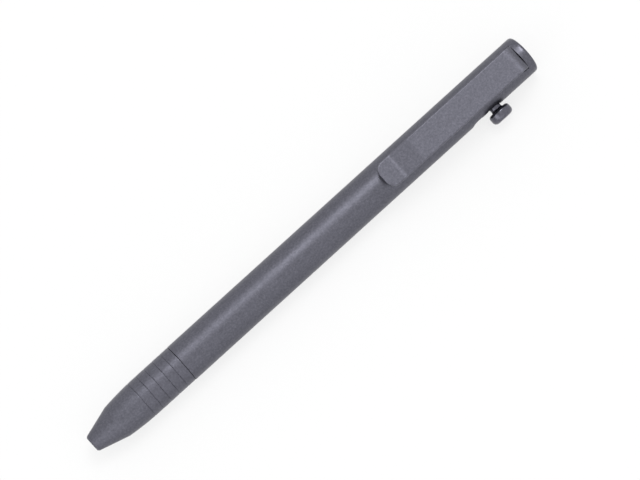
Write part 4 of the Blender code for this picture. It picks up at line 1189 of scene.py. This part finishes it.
class BOLT_PEN_OT_build_carrier(bpy.types.Operator):
    """Turn the bolt's carrier, and dress the pen's rubber rings and white plastic"""

    bl_idname = "bolt_pen.build_carrier"
    bl_label = "Bolt Carrier"

    def execute(self, context):
        waist = CARRIER_RADIUS - WAIST_DEPTH
        corners = [
            (CARRIER_END, 0, 0),
            (CARRIER_END, CARRIER_RADIUS - CARRIER_CHAMFER, EDGE),
            (CARRIER_END - CARRIER_CHAMFER, CARRIER_RADIUS, EDGE),
            (WAIST_END, CARRIER_RADIUS, EDGE),
            (WAIST_END - WAIST_DEPTH, waist, EDGE),
            (WAIST_START + WAIST_DEPTH, waist, EDGE),
            (WAIST_START, CARRIER_RADIUS, EDGE),
        ]
        for middle in CARRIER_GROOVES:
            start = middle - CARRIER_GROOVE_HALF
            end = middle + CARRIER_GROOVE_HALF
            corners += [
                (end, CARRIER_RADIUS, 0),
                (end, CARRIER_GROOVE_RADIUS, 0),
                (start, CARRIER_GROOVE_RADIUS, 0),
                (start, CARRIER_RADIUS, 0),
            ]
        corners += [
            (CARRIER_START + CARRIER_CHAMFER, CARRIER_RADIUS, EDGE),
            (CARRIER_START, CARRIER_RADIUS - CARRIER_CHAMFER, EDGE),
            (CARRIER_START, PAD_RADIUS, 0),
            (PAD_SEAT, PAD_RADIUS, 0),
            (PAD_SEAT, 0, 0),
        ]
        piece = lathe("bolt_carrier_skin", corners, INNER_SIDES, closed=False)
        for radius, start in STEM_HOLES:
            outline = [(start, 0), (start, radius), (STEM_HOLE_END, radius), (STEM_HOLE_END, 0)]
            shape = lathe_shape(outline, STEM_HOLE_SIDES, False)
            shape.transform(STEM_FRAME)
            cut(piece, mesh_piece("stem_hole", shape))
        colour = context.scene.bolt_pen_finishes.bare_titanium
        bare = turned_metal("Turned titanium, carrier", colour, roughness=0.34)
        place(piece, "bolt", "turned_titanium", bare, "bolt_carrier")
        rubber = moulded("Black rubber", (0.02, 0.02, 0.02), roughness=0.62, depth=0.004)
        dress(rubber, "carrier_o_ring_front", "carrier_o_ring_rear", "grip_o_ring")
        acetal = moulded("White acetal", (0.78, 0.77, 0.74), roughness=0.36, depth=0.003)
        dress(acetal, "thrust_pad", "refill_end_plug")
        return {"FINISHED"}


class BOLT_PEN_OT_build_refill(bpy.types.Operator):
    """Turn the refill's metal point and ball, and dress the rest of the refill"""

    bl_idname = "bolt_pen.build_refill"
    bl_label = "Refill"

    def execute(self, context):
        finishes = context.scene.bolt_pen_finishes
        corners = [
            (POINT_END, POINT_FACE_START, 0),
            (POINT_END, POINT_RADIUS, POINT_ROUND),
            (POINT_START + POINT_CONE_LENGTH, POINT_RADIUS, POINT_CONE_ROUND),
            (POINT_START + POINT_LIP_LENGTH, POINT_LIP_BASE, POINT_ROUND),
            (POINT_START, POINT_LIP_RADIUS, POINT_LIP_ROUND),
            (POINT_START, BALL_HOUSING, 0),
            (BALL_SPRING_START, BALL_HOUSING, 0),
            (BALL_SPRING_START, BALL_SPRING_BORE, 0),
            (BALL_SPRING_END, BALL_SPRING_BORE, 0),
            (BALL_SPRING_END, POINT_INK_BORE, 0),
            (POINT_END, POINT_INK_BORE, 0),
        ]
        cone = lathe("refill_point_skin", corners, INNER_SIDES)
        bare = turned_metal("Nickel silver, point", finishes.nickel_silver, roughness=0.2)
        place(cone, "refill", "nickel_silver", bare, "refill_cone")
        shape = bmesh.new()
        bmesh.ops.create_icosphere(shape, subdivisions=BALL_DETAIL, radius=BALL_RADIUS)
        shape.transform(Matrix.Translation((BALL_STATION, 0, 0)))
        ball = mesh_piece("refill_ball_skin", shape)
        steel = turned_metal("Polished steel, ball", finishes.steel, roughness=0.14)
        place(ball, "refill", "stainless_steel", steel, "refill_ball")
        milky = (0.6, 0.64, 0.66)
        clear = moulded(
            "Milky polypropylene", milky, roughness=0.3, depth=0.002, Transmission_Weight=0.35
        )
        dress(clear, "refill_tube", "refill_tip_holder")
        ink = moulded("Black ink", (0.01, 0.01, 0.015), roughness=0.2, depth=0.001)
        dress(ink, "refill_ink")
        grease = moulded("Amber grease", (0.55, 0.42, 0.2), roughness=0.3, depth=0.002)
        dress(grease, "refill_follower")
        wire = turned_metal("Fine spring steel", finishes.steel, roughness=0.24)
        dress(wire, "refill_ball_spring")
        return {"FINISHED"}


class BOLT_PEN_OT_build_spring(bpy.types.Operator):
    """Coil the return spring as it is at rest; the real one shortens as the bolt goes down"""

    bl_idname = "bolt_pen.build_spring"
    bl_label = "Return Spring"

    def execute(self, context):
        curve = bpy.data.curves.new("return_spring_wire", "CURVE")
        curve.dimensions = "3D"
        curve.bevel_depth = SPRING_WIRE / 2
        curve.bevel_resolution = WIRE_DETAIL
        curve.use_fill_caps = True
        spline = curve.splines.new("POLY")
        spline.points.add(SPRING_TURNS * SPRING_STEPS)
        open_length = SPRING_END - SPRING_START - 2 * SPRING_END_PITCH
        open_pitch = open_length / (SPRING_TURNS - 2)
        station = SPRING_START
        for index, point in enumerate(spline.points):
            turn = index / SPRING_STEPS
            angle = FULL_TURN * index / SPRING_STEPS
            across = SPRING_RADIUS * math.cos(angle)
            up = SPRING_RADIUS * math.sin(angle)
            point.co = (station, across, up, 1)
            at_end = turn < 1 or turn >= SPRING_TURNS - 1
            station += (SPRING_END_PITCH if at_end else open_pitch) / SPRING_STEPS
        wire = add_object("return_spring_wire", curve)
        mesh = applied(wire)
        bpy.data.objects.remove(wire, do_unlink=True)
        piece = add_object("return_spring_skin", mesh)
        colour = context.scene.bolt_pen_finishes.steel
        steel = turned_metal("Spring steel", colour, roughness=0.24)
        place(piece, "barrel", "stainless_steel", steel, "return_spring")
        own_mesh(piece)
        return {"FINISHED"}


class BOLT_PEN_OT_set_stage(bpy.types.Operator):
    """Set the white floor and surroundings, the soft lamps and the camera"""

    bl_idname = "bolt_pen.set_stage"
    bl_label = "Stage"

    def execute(self, context):
        stage = context.scene.bolt_pen_stage
        context.scene.view_settings.view_transform = "Standard"
        add_world(context.scene)
        add_floor(stage.floor_share)
        toward = camera_direction(stage)
        add_camera(context.scene, stage, toward)
        right, up, _ = picture_axes(stage, toward)
        for name, lean, turn, size, power in LAMPS:
            sideways = up * math.cos(turn) + right * math.sin(turn)
            direction = toward * math.cos(lean) + sideways * math.sin(lean)
            add_lamp(name, direction, size, power * stage.lamp_level)
        return {"FINISHED"}


def camera_direction(stage):
    """Give the direction from the pen to the camera."""
    lead = stage.nose_lead
    side = stage.side_lead
    local = Vector(
        (-math.sin(lead), -math.cos(lead) * math.sin(side), math.cos(lead) * math.cos(side))
    )
    return (PEN_FRAME.to_3x3() @ local).normalized()


def picture_axes(stage, toward):
    """Give the picture's rightward and upward directions, and the pen's upward side in it."""
    along = Vector((1, 0, 0))
    along = (along - toward * along.dot(toward)).normalized()
    across = toward.cross(along)
    right = along * math.cos(stage.slope) - across * math.sin(stage.slope)
    up = along * math.sin(stage.slope) + across * math.cos(stage.slope)
    return right, up, across


def add_camera(scene, stage, toward):
    """Add the camera, aimed at a place beside the pen's axis, with the pen on its slope."""
    right, up, across = picture_axes(stage, toward)
    aim = PEN_FRAME @ Vector((stage.aim_station, 0, 0)) - across * stage.aim_side * MM
    data = bpy.data.cameras.new("camera")
    data.lens = stage.camera_lens
    data.clip_start = CAMERA_NEAR
    data.clip_end = CAMERA_FAR
    camera = add_object("camera", data)
    turn = Matrix((right, up, toward)).transposed().to_4x4()
    camera.matrix_world = Matrix.Translation(aim + toward * stage.camera_distance) @ turn
    scene.camera = camera


def add_lamp(name, direction, size, power):
    """Add a square soft lamp that shines at the pen from a direction."""
    data = bpy.data.lights.new(name, "AREA")
    data.size = size
    data.energy = power
    lamp = add_object(name, data)
    lamp.location = direction * LAMP_DISTANCE
    lamp.rotation_mode = "QUATERNION"
    lamp.rotation_quaternion = direction.to_track_quat("Z", "Y")


def seen_share(tree):
    """Give the kinds of ray, and 1 for those that see the background.

    These are the straight rays, the mirrored ones and the ones through glass.
    """
    rays = make_node(tree, "LightPath").outputs
    share = math_node(tree, "MAXIMUM", rays["Is Camera Ray"], rays["Is Glossy Ray"])
    return rays, math_node(tree, "MAXIMUM", share, rays["Is Transmission Ray"])


def add_world(scene):
    """Surround the pen with plain white, which lights matt surfaces a little less."""
    world = bpy.data.worlds.new("White surroundings")
    world.use_nodes = True
    scene.world = world
    tree = world.node_tree
    background = tree.nodes["Background"]
    background.inputs["Color"].default_value = WHITE
    seen = seen_share(tree)[1]
    tree.links.new(range_node(tree, seen, 0, 1, MATT_LEVEL), background.inputs["Strength"])


def add_floor(own_share):
    """Add the white floor, which keeps the pen's faint shadow."""
    bpy.ops.mesh.primitive_plane_add(size=FLOOR_SIZE, location=(0, 0, 0))
    floor = bpy.context.object
    floor.name = "floor"
    material = bpy.data.materials.new("White floor")
    material.use_nodes = True
    tree = material.node_tree
    tree.nodes.remove(tree.nodes["Principled BSDF"])
    matt = make_node(tree, "BsdfDiffuse", {"Color": FLOOR_WHITE}).outputs[0]
    glow = make_node(tree, "Emission", {"Color": WHITE, "Strength": 1.0}).outputs[0]
    clear = make_node(tree, "BsdfTransparent").outputs[0]
    rays, seen = seen_share(tree)
    back = make_node(tree, "MixShader", {0: rays["Is Camera Ray"], 1: glow, 2: clear}).outputs[0]
    share = math_node(tree, "MULTIPLY", seen, 1 - own_share)
    final = make_node(tree, "MixShader", {0: share, 1: matt, 2: back}).outputs[0]
    tree.links.new(final, tree.nodes["Material Output"].inputs["Surface"])
    floor.data.materials.append(material)


class BOLT_PEN_PT_panel(bpy.types.Panel):
    """Lists the pen's settings, its pieces and its stage"""

    bl_idname = "BOLT_PEN_PT_panel"
    bl_label = "Bolt Action Pen"
    bl_space_type = "VIEW_3D"
    bl_region_type = "UI"
    bl_category = "Bolt Pen"

    def draw(self, context):
        layout = self.layout
        for owner, group in GROUPS:
            box = layout.box()
            for name in group.__annotations__:
                box.prop(getattr(context.scene, owner), name)
        for operator in OPERATORS:
            layout.operator(operator.bl_idname)


OPERATORS = (
    BOLT_PEN_OT_build_grip,
    BOLT_PEN_OT_build_barrel,
    BOLT_PEN_OT_build_clip,
    BOLT_PEN_OT_build_knob,
    BOLT_PEN_OT_build_cap_end,
    BOLT_PEN_OT_build_carrier,
    BOLT_PEN_OT_build_refill,
    BOLT_PEN_OT_build_spring,
    BOLT_PEN_OT_set_stage,
)
GROUPS = (
    ("bolt_pen_shapes", BOLT_PEN_PG_shapes),
    ("bolt_pen_finishes", BOLT_PEN_PG_finishes),
    ("bolt_pen_stage", BOLT_PEN_PG_stage),
)


def register():
    """Register the classes and hang the settings on the scene."""
    for name, group in GROUPS:
        bpy.utils.register_class(group)
        setattr(bpy.types.Scene, name, bpy.props.PointerProperty(type=group))
    for operator in OPERATORS:
        bpy.utils.register_class(operator)
    bpy.utils.register_class(BOLT_PEN_PT_panel)


def unregister():
    """Take everything off again, in the opposite order."""
    bpy.utils.unregister_class(BOLT_PEN_PT_panel)
    for operator in reversed(OPERATORS):
        bpy.utils.unregister_class(operator)
    for name, group in reversed(GROUPS):
        delattr(bpy.types.Scene, name)
        bpy.utils.unregister_class(group)


def main():
    """Build the shared effects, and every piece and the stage."""
    register()
    blasted_grain_group()
    turned_marks_group()
    worn_edges_group()
    bpy.ops.bolt_pen.build_grip()
    bpy.ops.bolt_pen.build_barrel()
    bpy.ops.bolt_pen.build_clip()
    bpy.ops.bolt_pen.build_knob()
    bpy.ops.bolt_pen.build_cap_end()
    bpy.ops.bolt_pen.build_carrier()
    bpy.ops.bolt_pen.build_refill()
    bpy.ops.bolt_pen.build_spring()
    bpy.ops.bolt_pen.set_stage()


if __name__ == "__main__":
    main()
